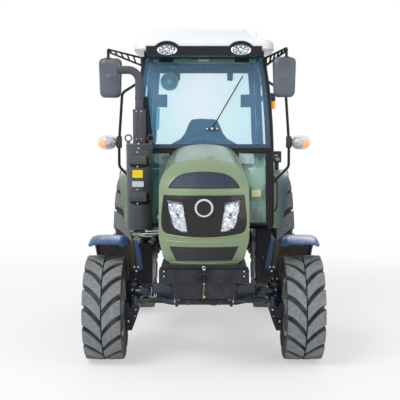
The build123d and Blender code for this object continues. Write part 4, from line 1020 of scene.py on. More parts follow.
def make_lower_inlet():
    """Slats, wire and rim of the lower inlet."""
    wires, rim = forms(2)
    corners = [(-0.243, INLET_HIGH), (0.243, INLET_HIGH), (0.196, INLET_LOW), (-0.196, INLET_LOW)]
    for k in range(1, 8):
        z = INLET_LOW + (INLET_HIGH - INLET_LOW) * k / 8
        reach = 0.196 + 0.047 * k / 8 - 0.008
        wires.tube(on_nose_line([(-reach + 2 * reach * j / 20, z) for j in range(21)], 0.001), 0.0026, 5)
    for k in range(-12, 13):
        x = 0.017 * k
        low = INLET_LOW + 0.005 + max(0, (abs(x) - 0.192) * 2)
        wires.tube(on_nose_line([(x, low + (INLET_HIGH - 0.005 - low) * j / 5) for j in range(6)], 0.0004),
                   0.0014, 4)
    wires.piece("lower_inlet_wires", "inlet_wire", "hood")
    rim.tube(on_nose_line(dense([(x * 0.99, z) for x, z in corners], 0.012), 0.0004), 0.0036, 6, closed=True)
    rim.piece("lower_inlet_rim", "dark_plastic", "hood")


def make_seams():
    """Rolled panel edges round the mask and the lip below it, and the seam between hood and lip."""
    rolls, seams = forms(2)
    upper = [(-0.292 + 0.584 * k / 40, MASK_HIGH + 0.006) for k in range(41)]
    rolls.tube(on_nose_line(upper, -0.0005), 0.0045, 8)
    lower = []
    for k in range(41):
        x = -0.270 + 0.540 * k / 40
        lower.append((x, MASK_LOW - 0.006 + 0.022 * (x / 0.27) ** 2))
    rolls.tube(on_nose_line(lower, -0.0005), 0.0045, 8)
    low_lip = [(-0.232 + 0.464 * k / 30, 0.815 + 0.004 * (k / 15 - 1) ** 2) for k in range(31)]
    rolls.tube(on_nose_line(low_lip, -0.001), 0.0045, 8)
    ridge = [(-0.272 + 0.544 * k / 40, 0.962 + 0.014 * (k / 20 - 1) ** 2) for k in range(41)]
    rolls.tube(on_nose_line(ridge, -0.0035), 0.0065, 8)
    rolls.piece("hood_rolled_edges", "green_paint", "hood")
    for side in (1, -1):
        run = [flank_point(side, -1.36 + 1.10 * k / 20, 1.335 + 0.03 * k / 20, -0.0006) for k in range(21)]
        seams.tube(run, 0.0016, 5)
    seams.piece("hood_seams", "dark_seam_and_shadow", "hood")


def make_badge():
    """Plain ring with a dark dished middle."""
    x, z = BADGE
    near = ((0, 0), (0, 0.05), (0, -0.05), (0.05, 0), (-0.05, 0))
    face = min(nose_point(x + dx, z + dz).y for dx, dz in near)
    matrix = facing_front((x, face, z), 0.10)
    ring, dish = forms(2)
    r = BADGE_RADIUS
    profile = [(-0.004, r - 0.001), (0.005, r), (0.009, r - 0.003), (0.010, r - 0.008), (0.009, r - 0.013),
               (0.005, r - 0.016), (-0.004, r - 0.016)]
    ring.lathe(profile, matrix, 56)
    ring.piece("badge_ring", "chrome", "hood")
    inner = r - 0.015
    dish.lathe([(-0.004, 0), (-0.004, inner), (0.003, inner), (0.0015, inner * 0.7), (0.001, 0)], matrix, 40)
    dish.piece("badge_middle", "black_gloss", "hood")


def shrink(outline, inset):
    """Outline drawn in towards its middle by about the inset."""
    centre = sum((Vector(p) for p in outline), Vector((0, 0))) / len(outline)
    out = []
    for p in outline:
        way = Vector(p) - centre
        out.append(tuple(centre + way * (1 - inset / way.length)))
    return out


def bowl(form, place, radius, depth, way, petals=14):
    """Reflector bowl with facets, opening along the way."""
    matrix = frame_at(place, (0, 0, 1), way)
    profile = [(0, radius), (-depth * 0.35, radius * 0.93), (-depth * 0.7, radius * 0.74),
               (-depth * 0.93, radius * 0.45), (-depth, radius * 0.2)]
    form.lathe(profile, matrix, petals, closed=False)


def facets(form, outline, lift):
    """Plate of small uneven facets behind a lens."""
    rim = dense(outline, 0.016)
    centre = sum(rim, Vector((0, 0))) / len(rim)
    rows = []
    for k in range(6):
        share = 1 - k / 6
        rows.append([nose_point(*(centre + (p - centre) * share), lift + random.uniform(-0.004, 0.004))
                     for p in rim])
    form.strip([row + row[:1] for row in rows])


def make_headlamps():
    """Clear lens over two faceted reflectors on each side, in a dark housing."""
    lens, chrome, housing, bulbs, lids = forms(5)
    for side in (1, -1):
        outline = [(side * x, z) for x, z in LAMP_EDGE]
        skin_patch(lens, outline, nose_point, 0.0, 0.003, rings=6, step=0.012)
        rim = dense(outline, 0.012)
        housing.tube([nose_point(*p, -0.001) for p in rim], 0.0032, 6, closed=True)
        deep = [nose_point(*p, -0.003) for p in dense(shrink(outline, 0.002), 0.014)]
        floor = [p + Vector((-side * 0.008, 0.045, 0)) for p in deep]
        housing.strip([deep + deep[:1], floor + floor[:1]])
        centre = sum(floor, Vector()) / len(floor)
        part = bmesh.new()
        ring = [part.verts.new(p) for p in floor]
        tip = part.verts.new(centre + Vector((0, 0.012, 0)))
        for j, v in enumerate(ring):
            part.faces.new((v, ring[(j + 1) % len(ring)], tip))
        chrome.take(part)
        facets(chrome, shrink(outline, 0.004), -0.014)
        for x, z, r in ((0.203, 1.196, 0.046), (0.172, 1.100, 0.047)):
            mouth = nose_point(side * x, z, -0.016)
            way = (Vector((side * 0.12, -1, 0))).normalized()
            bowl(chrome, mouth, r, 0.040, way)
            chrome.lathe([(-0.001, r - 0.001), (0.002, r + 0.001), (0.002, r + 0.004), (-0.003, r + 0.004)],
                         frame_at(mouth, (0, 0, 1), way), 32)
            back = mouth - way * 0.036
            bulbs.lathe([(0, 0), (0, 0.010), (0.016, 0.010), (0.022, 0.006), (0.024, 0)],
                        frame_at(back, (0, 0, 1), way), 16)
        for k in range(5):
            z = 1.058 + 0.019 * k
            x0, x1 = 0.120 + 0.002 * k, 0.134 + 0.002 * k
            chrome.tube([nose_point(side * x0, z, -0.012), nose_point(side * x1, z + 0.006, -0.012)], 0.006,
                        6)
        top = [(side * x, z) for x, z in ((0.257, 1.262), (0.152, 1.243), (0.149, 1.229), (0.255, 1.243))]
        skin_patch(lids, top, nose_point, -0.008, 0.004, rings=2)
    lens.piece("headlamp_lenses", "lamp_lens", "hood", replaces=("headlamps",))
    chrome.piece("headlamp_reflectors", "chrome", "hood", angle=12)
    housing.piece("headlamp_housings", "black_gloss", "hood")
    bulbs.piece("headlamp_bulbs", "frosted_bulb", "hood")
    lids.piece("headlamp_lids", "lamp_lid", "hood")


def make_flank_vents():
    """Louvres over the flank grilles, with a rolled rim, and the latches by them."""
    louvres, rim, latches = forms(3)
    nose_y = FRONT_AXLE_Y - 0.56
    outline = [(nose_y + 0.33, 1.030), (nose_y + 0.30, 1.210), (nose_y + 0.96, 1.260), (nose_y + 0.96, 1.085),
               (nose_y + 0.56, 1.055)]
    for side in (1, -1):
        points = dense(outline, 0.03)
        rim.tube([flank_point(side, y, z, 0.0005) for y, z in points], 0.004, 6, closed=True)
        for k in range(11):
            share = (k + 0.5) / 11
            y0, y1 = nose_y + 0.335 - 0.02 * share, nose_y + 0.95
            row = []
            for j in range(17):
                y = y0 + (y1 - y0) * j / 16
                across = (y - nose_y - 0.30) / 0.66
                low = 1.030 + 0.055 * max(0, across) ** 1.1
                high = 1.210 + 0.050 * across
                row.append((y, low + (high - low) * share))
            louvres.tube([flank_point(side, y, z, 0.001) for y, z in row], 0.0045, 6, flat=0.5)
        for y in (nose_y + 0.50, nose_y + 1.20):
            place = flank_point(side, y, 1.295, 0.0)
            latches.box((-0.028, -0.012, -0.001), (0.028, 0.012, 0.006), 0.003,
                        matrix=frame_at(place, (0, 1, 0), (side, 0, 0)))
    louvres.piece("flank_louvres", "dark_plastic", "hood")
    rim.piece("flank_grille_rims", "dark_plastic", "hood")
    latches.piece("hood_latches", "dark_plastic", "hood")



make_upper_grille()
make_lower_inlet()
make_seams()
make_badge()
make_headlamps()
make_flank_vents()


# ---------------------------------------------------------------- exhaust
STACK = Vector((-0.525, FRONT_AXLE_Y + 0.455, 0))
CAN_RADIUS, CAN_LOW, CAN_HIGH = 0.107, 0.955, 1.640
SHIELD_RADIUS, SHIELD_HIGH = 0.053, 1.925


def on_can(x, z, radius=CAN_RADIUS, lift=0.0):
    """Point on the front of the can, x from the stack's middle."""
    return STACK + Vector((x, -math.sqrt(radius**2 - x**2) - lift, z))


def make_exhaust():
    """Bands, bolts, painted shadows under and beside the clamp boxes, and two blank plates of the silencer
    and its heat shield.
    """
    bands, bolts, dark = forms(3)
    up = upright(STACK)
    for z, out in ((CAN_HIGH - 0.004, 0.0035), (CAN_HIGH - 0.030, 0.0028), (CAN_LOW + 0.006, 0.003)):
        r = CAN_RADIUS
        bands.lathe([(z - 0.008, r - 0.002), (z - 0.006, r + out), (z + 0.004, r + out),
                     (z + 0.006, r - 0.002)], up, 64)
    bands.lathe([(CAN_HIGH - 0.001, CAN_RADIUS), (CAN_HIGH + 0.007, CAN_RADIUS - 0.006),
                 (CAN_HIGH + 0.012, CAN_RADIUS - 0.03), (CAN_HIGH + 0.014, SHIELD_RADIUS)],
                up, 64, closed=False)
    bands.lathe([(SHIELD_HIGH - 0.012, SHIELD_RADIUS - 0.001), (SHIELD_HIGH - 0.010, SHIELD_RADIUS + 0.0025),
                 (SHIELD_HIGH, SHIELD_RADIUS + 0.002), (SHIELD_HIGH + 0.003, SHIELD_RADIUS - 0.004),
                 (SHIELD_HIGH + 0.002, 0.036), (SHIELD_HIGH - 0.012, 0.036)], up, 48)
    for x in (-0.018, 0.018):
        bands.box((x - 0.005, -SHIELD_RADIUS - 0.004, CAN_HIGH + 0.012),
                  (x + 0.005, -SHIELD_RADIUS + 0.008, SHIELD_HIGH - 0.002), 0.002,
                  matrix=Matrix.Translation(STACK))
    for z in (2.017, 1.940):
        bands.lathe([(z - 0.005, 0.032), (z - 0.004, 0.0365), (z + 0.004, 0.0365), (z + 0.005, 0.032)],
                    up, 40)
    for z0, z1 in ((1.188, 1.264), (1.487, 1.557)):
        front = STACK.y - CAN_RADIUS - 0.014
        x0, x1 = STACK.x - 0.076, STACK.x + 0.062
        bands.box((x0 + 0.004, front - 0.0015, z0 + 0.006), (x1 - 0.004, front + 0.004, z1 - 0.006), 0.0015)
        bands.tube([(x0, front + 0.001, z1), (x1, front + 0.001, z1)], 0.0028, 6)
        # painted shadows: a dark arch under each clamp box and a dark strip beside it
        arch = [on_can(-0.078 + 0.172 * k / 16, z0 - 0.002 - 0.030 * (1 - (k / 8 - 1) ** 2) ** 0.5,
                       lift=0.0015) for k in range(17)]
        roof = [on_can(-0.078 + 0.172 * k / 16, z0 + 0.004, lift=0.0012) for k in range(17)]
        dark.strip([arch, roof], thick=0.0008)
        side_line = [on_can(0.060 + 0.022 * k / 6, 0, lift=0.0012) for k in range(7)]
        dark.strip([[p + Vector((0, 0, z)) for p in side_line] for z in (z0, z1 - 0.01)], thick=0.0008)
    for x, z, r in ((-0.009, 1.580, 0), (-0.009, 1.464, 0), (-0.009, 1.281, 0), (-0.009, 1.168, 0),
                    (0, 1.648, 0), (0, 1.612, 0)):
        bolts.dome(on_can(x, z, lift=0.001), (x * 6, -1, 0), 0.0075, 0.005)
    for x, z in ((-0.019, 1.687), (0.020, 1.687), (-0.019, 1.908), (0.020, 1.908)):
        bolts.dome(on_can(x, z, SHIELD_RADIUS, 0.004), (x * 8, -1, 0), 0.0062, 0.005)
    for z in (1.365, 1.120, 1.560):
        for x in (-0.106, 0.106):
            bolts.dome(on_can(x, z, lift=0.0), (x, -0.02, 0), 0.005, 0.003)
    for dx in (-0.090, 0.090):
        bolts.bolt(STACK + Vector((dx, -0.006, CAN_HIGH + 0.008)), (0, -1, 0), 0.011, 0.005)
    bands.piece("exhaust_bands", "exhaust_paint")
    bolts.piece("exhaust_bolts", "bright_steel")
    dark.piece("exhaust_painted_shadows", "dark_seam_and_shadow")
    for name, x0, x1, z0, z1, paint in (("silver", -0.054, 0.043, 1.301, 1.351, "silver_plate"),
                                        ("yellow", -0.051, 0.036, 1.374, 1.441, "yellow_plate")):
        plate = Form()
        face = STACK.y - CAN_RADIUS - 0.003
        plate.box((STACK.x + x0 + 0.002, face - 0.0014, z0 + 0.002),
                  (STACK.x + x1 - 0.002, face + 0.001, z1 - 0.002), 0.0008, 1)
        plate.piece(f"blank_plate_{name}", paint)


make_exhaust()

# ---------------------------------------------------------------- cab body, bowed out at its sides
SIDE_BOW = ((0.80, 0.600), (1.30, 0.600), (1.60, 0.598), (1.82, 0.590), (2.03, 0.575), (2.18, 0.558),
            (2.26, 0.546), (2.41, 0.522), (2.50, 0.512))
BOW_FROM = 0.30  # nearer the middle than this nothing moves


CAB_LOW, CAB_RISE = 0.945, 1.465  # level of the cab's sill, and from there to its top rail


def plane_half(z):
    """Half width of the cab before its sides are bowed out."""
    return 0.600 - 0.078 * (z - CAB_LOW) / CAB_RISE


def bow_half(z):
    """Half width of the bowed cab in front."""
    for (z0, h0), (z1, h1) in zip(SIDE_BOW, SIDE_BOW[1:]):
        if z <= z1:
            return h0 + (h1 - h0) * (z - z0) / (z1 - z0)
    return SIDE_BOW[-1][1]


def bow_at(y, z):
    """How far the cab's side is bowed out: all of it in front, none at the door hinges and behind them."""
    t = min(1.0, max(0.0, (y - 0.12) / 0.42))
    return (1 - t * t * (3 - 2 * t)) * max(0.0, bow_half(z) - plane_half(z))


def bowed_x(x, z, y=-0.1):
    """x of a point of the flat-sided cab once its sides are bowed out."""
    if z > 2.405 or z < 0.90:
        return x
    share = min(1.15, max(0.0, (abs(x) - BOW_FROM) / (plane_half(z) - BOW_FROM)))
    return x + math.copysign(share * bow_at(y, z), x)


def bowed(node, look, body="chassis"):
    """Copy of a CAD node cut in level bands and bowed with the cab's sides."""
    mesh = frame["nodes"][node].data
    form = Form()
    form.bm.from_mesh(mesh)
    bmesh.ops.remove_doubles(form.bm, verts=form.bm.verts, dist=1e-6)
    cuts = [((0, 0, 0.93 + 0.05 * k), (0, 0, 1)) for k in range(32)]
    cuts += [((0, 0.12 + 0.07 * k, 0), (0, 1, 0)) for k in range(7)]
    for place, normal in cuts:
        everything = form.bm.verts[:] + form.bm.edges[:] + form.bm.faces[:]
        bmesh.ops.bisect_plane(form.bm, geom=everything, dist=1e-6, plane_co=place, plane_no=normal)
    for v in form.bm.verts:
        v.co.x = bowed_x(v.co.x, v.co.z, v.co.y)
    return form.piece(f"{node}_bowed", look, body, 25, (node,))


bowed("cab_frame", "cab_paint")
bowed("windshield", "windshield_glass")
windows = bowed("cab_windows", "low_glass")
windows.data.materials.append(PAINT["quarter_glass"])
for polygon in windows.data.polygons:
    polygon.material_index = 1 if polygon.center.y > 0.1 else 0
bowed("rear_window", "rear_glass")
for name, side in SIDES:
    bowed(f"door_{name}", "cab_paint", f"door_{name}")
    bowed(f"door_glass_{name}", "cab_glass", f"door_{name}")

A_Y_LOW, A_Y_HIGH = FRONT_AXLE_Y + 0.925 - 0.031, FRONT_AXLE_Y + 1.055 - 0.031


def shield_y(z):
    """Y of the plane that the windshield lies on."""
    return A_Y_LOW + (A_Y_HIGH - A_Y_LOW) * (z - CAB_LOW) / CAB_RISE


def on_shield(x, z, out=0.0):
    """Point on the windshield's outside."""
    return Vector((bowed_x(x, z), shield_y(z) - 0.006 - out, z))


def make_cab_trim():
    """Seals round the panes, the dark strip under the windshield, and the pillars' drip rails."""
    seals, rails, band = forms(3)
    z0, z1 = 1.601, 2.400
    left = [(-plane_half(z) + 0.014, z) for z in evenly(z0, z1, 14)]
    right = [(-x, z) for x, z in reversed(left)]
    loop = [on_shield(x, z, 0.001) for x, z in left + right]
    seals.tube(loop, 0.0065, 6, closed=True, flat=0.6)
    for side in (1, -1):
        pane = [(-(plane_half(z) - 0.052), z) for z in [0.953 + 0.612 * k / 10 for k in range(11)]]
        inner = [(-0.300, 1.565), (-0.300, 0.953)]
        loop = [Vector((bowed_x(-side * x, z) if abs(x) > 0.31 else -side * x, shield_y(z) + 0.006, z))
                for x, z in pane + inner]
        seals.tube(dense3(loop, 0.06), 0.006, 6, closed=True)
        drip = [Vector((side * (bow_half(z) + 0.003), shield_y(z) + 0.004, z))
                for z in [0.94 + 1.46 * k / 24 for k in range(25)]]
        rails.tube(drip, 0.008, 8)
    seals.piece("cab_seals", "rubber_seal")
    rails.piece("pillar_drip_rails", "cab_paint")
    rows = []
    for z in (1.604, 1.622, 1.640):
        half = plane_half(z) - 0.02
        rows.append([on_shield(-half + 2 * half * k / 24, z, 0.0008) for k in range(25)])
    band.strip(rows, thick=0.0006)
    band.piece("windshield_low_band", "blue_band")


def dense3(points, step):
    """Closed loop of points no further apart than the step."""
    out = []
    for k, a in enumerate(points):
        b = points[(k + 1) % len(points)]
        parts = max(1, math.ceil((b - a).length / step))
        out += [a.lerp(b, j / parts) for j in range(parts)]
    return out


make_cab_trim()


def side_at(side, y, z, out=0.0):
    """Point on the cab's bowed side."""
    return Vector((side * (plane_half(z) + bow_at(y, z) + out), y, z))


B_PILLAR_Y = FRONT_AXLE_Y + 1.690
C_PILLAR_Y = FRONT_AXLE_Y + 2.215


def make_door_trim(name, side):
    """Seal and bead round each door pane, its handle with a lock, and the inner pull."""
    seal, bead, lock, pull = forms(4)
    z_low, z_rail, z_high = 1.425, 1.385, 2.302
    upper = []

    def front(z):
        return shield_y(z) + 0.062 + 0.006 + 0.044

    rear = B_PILLAR_Y - 0.050
    for y, z in ((front(z_low), z_low), (front(z_high), z_high), (rear, z_high), (rear, z_low)):
        upper.append((y, z))
    lower = [(front(1.000), 1.000), (front(z_rail), z_rail), (rear, z_rail), (rear, 1.372),
             (B_PILLAR_Y - 0.244, 1.350),
             (B_PILLAR_Y - 0.292, 1.262), (B_PILLAR_Y - 0.340, 1.150), (B_PILLAR_Y - 0.430, 1.000)]
    for outline in (upper, lower):
        loop = [side_at(side, p.x, p.y, -0.004) for p in dense(outline, 0.06)]
        seal.tube(loop, 0.0055, 6, closed=True)
    seal.piece(f"door_seal_{name}", "rubber_seal", f"door_{name}")
    z0, z1 = 0.951, 2.346
    edge = [(front(z0) - 0.044 + 0.008, z0 + 0.006), (front(z1) - 0.036, z1 - 0.006),
            (B_PILLAR_Y - 0.014, z1 - 0.006),
            (B_PILLAR_Y - 0.014, 1.338), (B_PILLAR_Y - 0.216, 1.318), (B_PILLAR_Y - 0.246, 1.246),
            (B_PILLAR_Y - 0.296, 1.136), (B_PILLAR_Y - 0.376, 0.996), (B_PILLAR_Y - 0.414, z0 + 0.006)]
    bead.tube([side_at(side, p.x, p.y, 0.0005) for p in dense(edge, 0.06)], 0.0042, 6, closed=True)
    handle_y = front(1.405) + 0.018
    grip = [side_at(side, handle_y + 0.015 + 0.10 * k / 8, 1.405, 0.018 + 0.012 * math.sin(math.pi * k / 8))
            for k in range(9)]
    bead.tube(grip, 0.009, 8)
    bead.piece(f"door_bead_{name}", "dark_plastic", f"door_{name}")
    lock.dome(side_at(side, handle_y + 0.135, 1.405, 0.0), (side, 0, 0), 0.012, 0.008)
    for z in (1.480, 2.180):
        for dz in (0.010, 0.030):
            lock.dome(side_at(side, B_PILLAR_Y - 0.030, z + dz, 0.0135), (side, 0, 0), 0.005, 0.003)
    lock.piece(f"door_fastenings_{name}", "bright_steel", f"door_{name}")
    bar = [side_at(side, rear - 0.10 - 0.02 * math.sin(math.pi * k / 8), 1.50 + 0.32 * k / 8,
                   -0.050 - 0.03 * math.sin(math.pi * k / 8)) for k in range(9)]
    pull.tube([side_at(side, rear - 0.02, 1.47, -0.030)] + bar + [side_at(side, rear - 0.02, 1.85, -0.030)],
              0.009, 8)
    pull.piece(f"door_pull_{name}", "dark_plastic", f"door_{name}")


for name, side in SIDES:
    make_door_trim(name, side)


# ---------------------------------------------------------------- roof lamps, visor and roof
def make_work_lamps():
    """Rings, reflectors, lenses and surrounds of the two lamps under the roof."""
    rings, faces, dark, lens = forms(4)
    low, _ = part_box("work_lamps")
    for x in (-0.312, 0.312):
        z = 2.436
        y = low[1]
        matrix = facing_front((x, y, z))
        wide = Matrix.Diagonal((1, 0.51, 1, 1))
        stretched = matrix @ wide
        rings.lathe([(-0.004, 0.070), (0.0, 0.080), (-0.002, 0.084), (-0.012, 0.086), (-0.014, 0.080)],
                    stretched, 56)
        rings.lathe([(-0.016, 0.070), (-0.004, 0.070), (-0.003, 0.074), (-0.016, 0.078)], stretched, 56)
        faces.lathe([(-0.004, 0.070), (-0.012, 0.058), (-0.018, 0.040), (-0.022, 0.020), (-0.022, 0.0)],
                    stretched, 16, closed=False)
        for c, s in around(8, 0.5):
            place = Vector((x + 0.052 * c, y + 0.006, z + 0.026 * s))
            faces.dome(place, (0, -1, 0), 0.011, 0.008)
            dark.lathe([(0, 0.011), (0.001, 0.015), (0.0, 0.015)], facing_front(place), 14)
        faces.dome((x, y + 0.008, z), (0, -1, 0), 0.018, 0.010)
        lens.lathe([(-0.002, 0.070), (0.0, 0.066), (0.0005, 0.03), (0.001, 0.0)], stretched, 40, closed=False)
        rim = [Vector((x + 0.106 * math.cos(TURN * k / 48), low[1] - 0.004,
                       z + 0.072 * math.sin(TURN * k / 48)))
               for k in range(49) if math.sin(TURN * k / 48) > 0.28]
        dark.tube(rim, 0.004, 6)
    rings.piece("work_lamp_rings", "chrome", replaces=("work_lamps",))
    faces.piece("work_lamp_reflectors", "chrome", angle=14)
    lens.piece("work_lamp_lenses", "lamp_lens")
    dark.piece("work_lamp_surrounds", "dark_plastic")


def make_roof_trim():
    """The roof's lower lip, two ribs on its top, its rear hump and two round plugs."""
    lip, ribs = forms(2)
    low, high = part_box("roof")
    z = 2.446
    r, half, y0, y1 = 0.108, high[0] - 0.0005, low[1] + 0.0005, high[1] - 0.0005
    loop = []
    for cx, cy, start in ((half - r, y1 - r, 0), (-half + r, y1 - r, 1), (-half + r, y0 + r, 2),
                          (half - r, y0 + r, 3)):
        for k in range(9):
            a = TURN / 4 * (start + k / 8)
            loop.append(Vector((cx + (r - 0.004) * math.cos(a), cy + (r - 0.004) * math.sin(a), z)))
    lip.tube(loop, 0.006, 6, closed=True)
    lip.piece("roof_lower_lip", "grey_trim")
    for x in (-0.395, 0.395):
        ribs.box((x - 0.011, -0.02, 2.632), (x + 0.011, 0.84, 2.6448), 0.004)
    ribs.box((-0.16, 1.02, 2.52), (0.16, 1.12, 2.575), 0.02)
    for x in (-0.448, 0.448):
        ribs.lathe([(0, 0.024), (0.004, 0.023), (0.010, 0.018), (0.012, 0.010), (0.012, 0), (0, 0)],
                   upright((x, low[1] + 0.19, 2.556)), 24)
    ribs.piece("roof_ribs", "white_plastic")


make_work_lamps()
make_roof_trim()


# ---------------------------------------------------------------- turn lamps and their clamps
def make_turn_lamps():
    """Clear and amber lenses, reflectors and clamps of the side lamps."""
    clear, amber, inner, clamp = forms(4)
    low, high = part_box("turn_lamps")
    y = (low[1] + high[1]) / 2
    z = (low[2] + high[2]) / 2
    x0 = 0.757
    profile = smooth_path([(0, 0.030, 0), (0.022, 0.052, 0), (0.054, 0.0645, 0), (0.088, 0.0670, 0),
                           (0.118, 0.0612, 0), (0.146, 0.0445, 0), (0.164, 0.0235, 0), (0.1728, 0.0, 0)], 4)
    for side in (1, -1):
        matrix = along_x((side * x0, y, z), side)
        shell = [(p.x, p.y) for p in profile]
        clear.lathe(shell + [(a, max(0, b - 0.003)) for a, b in reversed(shell[:-1])], matrix, 48)
        bowl_place = (side * (x0 + 0.108), y - 0.012, z - 0.012)
        amber.lathe([(-0.020, 0), (-0.018, 0.030), (0.0, 0.043), (0.020, 0.038), (0.040, 0.024), (0.050, 0)],
                    frame_at(bowl_place, (0, 0, 1), (side, -0.25, -0.2)), 32)
        inner.lathe([(0.012, 0), (0.012, 0.030), (0.030, 0.046), (0.060, 0.056), (0.088, 0.060),
                     (0.090, 0.054), (0.060, 0.050), (0.035, 0.030), (0.030, 0)], matrix, 18)
        for k in range(5):
            a = 0.022 + 0.016 * k
            r = 0.0605 * math.sin(min(1, (a + 0.03) / 0.09) * math.pi / 2)
            clear.lathe([(a - 0.002, r), (a, r + 0.003), (a + 0.002, r)], matrix, 36)
        clamp.lathe([(-0.012, 0), (-0.012, 0.026), (-0.004, 0.034), (0.004, 0.034), (0.010, 0.030),
                     (0.010, 0)], matrix, 24)
        x_low, x_high = sorted((side * 0.716, side * 0.752))
        clamp.box((x_low, y - 0.024, z - 0.044), (x_high, y + 0.024, z + 0.046), 0.008, 3)
        for dz in (-0.032, 0.034):
            clamp.bolt((side * 0.736, y - 0.023, z + dz), (0, -1, 0), 0.012, 0.006)
    clear.piece("turn_lamp_lenses", "clear_lens", replaces=("turn_lamps",))
    amber.piece("turn_lamp_amber", "amber_lens")
    inner.piece("turn_lamp_reflectors", "chrome", angle=14)
    clamp.piece("turn_lamp_clamps", "dark_plastic")


make_turn_lamps()


# ---------------------------------------------------------------- mirrors
MIRROR_SWING = {"left": math.radians(62), "right": math.radians(32)}
MIRROR_ROOT = (0.0, -0.062)
MIRROR_ARM = 0.330


def rounded(half_x, half_z, radius, low_share=1.0, steps=6):
    """Rounded rectangle of (x, z) points whose lower end is narrower by a share."""
    out = []
    for sx, sz, start in ((1, 1, 0), (-1, 1, 1), (-1, -1, 2), (1, -1, 3)):
        for k in range(steps + 1):
            a = TURN / 4 * (start + k / steps)
            x = sx * (half_x - radius) + radius * math.cos(a)
            z = sz * (half_z - radius) + radius * math.sin(a)
            x *= 1 - (1 - low_share) * (0.5 - z / (2 * half_z))
            out.append((x, z))
    return out


def make_mirror(name, side):
    """Open lattice arm, bolts, head and silvered glass of one mirror."""
    swing = MIRROR_SWING[name]
    root_x = plane_half(2.370) + 0.015
    way = Vector((side * math.cos(swing), -math.sin(swing), 0))
    root = Vector((side * root_x, MIRROR_ROOT[1], 0))
    tip = root + way * MIRROR_ARM
    across = Vector((0, 0, 1)).cross(way)
    arm, head, glass_face, pins = forms(4)

    def at(x, z, out=0.0):
        return root + way * x + Vector((0, 0, z)) + across * out

    def web(points, half):
        rings = [[at(x, z, sign * half) for x, z in points] for sign in (-1, 1)]
        arm.loft(rings)

    def member(a, b, width_a, width_b, half=0.008):
        a, b = Vector(a), Vector(b)
        n = Vector((-(b - a).y, (b - a).x)).normalized()
        web([tuple(a + n * width_a), tuple(a - n * width_a), tuple(b - n * width_b), tuple(b + n * width_b)],
            half)

    member((-0.004, 2.390), (0.330, 2.449), 0.0075, 0.0075)
    member((0.000, 2.324), (0.322, 2.424), 0.0075, 0.0065)
    member((0.004, 2.318), (0.004, 2.396), 0.011, 0.011)
    for k, x in enumerate((0.080, 0.140, 0.200, 0.258)):
        member((x - 0.012, 2.330 + x * 0.300), (x + 0.010, 2.390 + x * 0.172), 0.0045, 0.0045, 0.007)
    member((0.300, 2.430), (0.338, 2.443), 0.016, 0.014)
    arm.box((-0.004, -0.020, -0.045), (0.024, 0.020, 0.045), 0.006, 3,
            matrix=frame_at((side * (bow_half(2.356) - 0.004), MIRROR_ROOT[1], 2.356), (side, 0, 0),
                            (0, 0, 1)))
    arm.tube([Vector((tip.x, tip.y, z)) for z in (2.360, 2.400, 2.447)], [0.013, 0.012, 0.012], 16)
    arm.lathe([(0, 0), (0, 0.016), (0.008, 0.016), (0.010, 0.012), (0.010, 0)],
              upright((tip.x, tip.y, 2.366)), 20)
    for z in (2.336, 2.376):
        pins.bolt((side * (bow_half(z) + 0.018), MIRROR_ROOT[1], z), (side, 0, 0), 0.014, 0.006, 0.012)
    pins.dome((tip.x, tip.y, 2.447), (0, 0, 1), 0.008, 0.005)
    arm.piece(f"mirror_arm_{name}", "cab_paint", replaces=(f"mirror_{name}",))
    pins.piece(f"mirror_bolts_{name}", "bright_steel")

    centre = Vector((tip.x - side * 0.016, tip.y, 2.207))
    half_x, half_z, half_y = 0.100, 0.169, 0.031
    rings = []
    for y, shrink_by, radius in ((half_y, 0.004, 0.042), (half_y - 0.004, 0.0, 0.046), (0.0, 0.001, 0.046),
                                 (-0.012, 0.005, 0.046), (-0.022, 0.014, 0.044), (-0.028, 0.028, 0.040),
                                 (-0.0305, 0.050, 0.034)):
        ring = rounded(half_x - shrink_by, half_z - shrink_by, radius, 0.90)
        rings.append([centre + Vector((x, y, z)) for x, z in ring])
    head.loft(rings)
    for z, reach in ((0.098, 0.052), (0.084, 0.050)):
        head.tube([centre + Vector((reach * (k / 5 - 1), -0.0298, z)) for k in range(11)], 0.0016, 6)
    head.lathe([(0, 0), (0, 0.030), (0.0012, 0.031), (0.0024, 0.029), (0.0024, 0)],
               facing_front(centre + Vector((0, -0.0295, 0.0))), 40)
    head.box((-0.030, -0.012, -0.006), (0.030, 0.012, 0.014), 0.006, 3,
             matrix=Matrix.Translation(Vector((tip.x, tip.y, 2.366))))
    head.piece(f"mirror_head_{name}", "mirror_shell")
    edge = rounded(half_x - 0.014, half_z - 0.014, 0.036, 0.90)
    back = [centre + Vector((x, half_y + 0.0003, z)) for x, z in edge]
    middle_point = sum(back, Vector()) / len(back)
    glass_face.loft([[p - Vector((0, 0.002, 0)) for p in back], back,
                     [middle_point + (p - middle_point) * 0.5 for p in back]])
    glass_face.piece(f"mirror_glass_{name}", "mirror_silver")


for name, side in SIDES:
    make_mirror(name, side)


# ---------------------------------------------------------------- front guards
GUARD_RADIUS, GUARD_HALF, GUARD_MIDDLE = 0.551, 0.139, 0.726


def guard_point(side, x, radius, degrees):
    """Point of the guard, x from its middle and so far round the wheel from the rear."""
    a = math.radians(degrees)
    return Vector((side * (GUARD_MIDDLE + x), FRONT_AXLE_Y + radius * math.cos(a),
                   WHEEL_HEIGHT["front"] + radius * math.sin(a)))


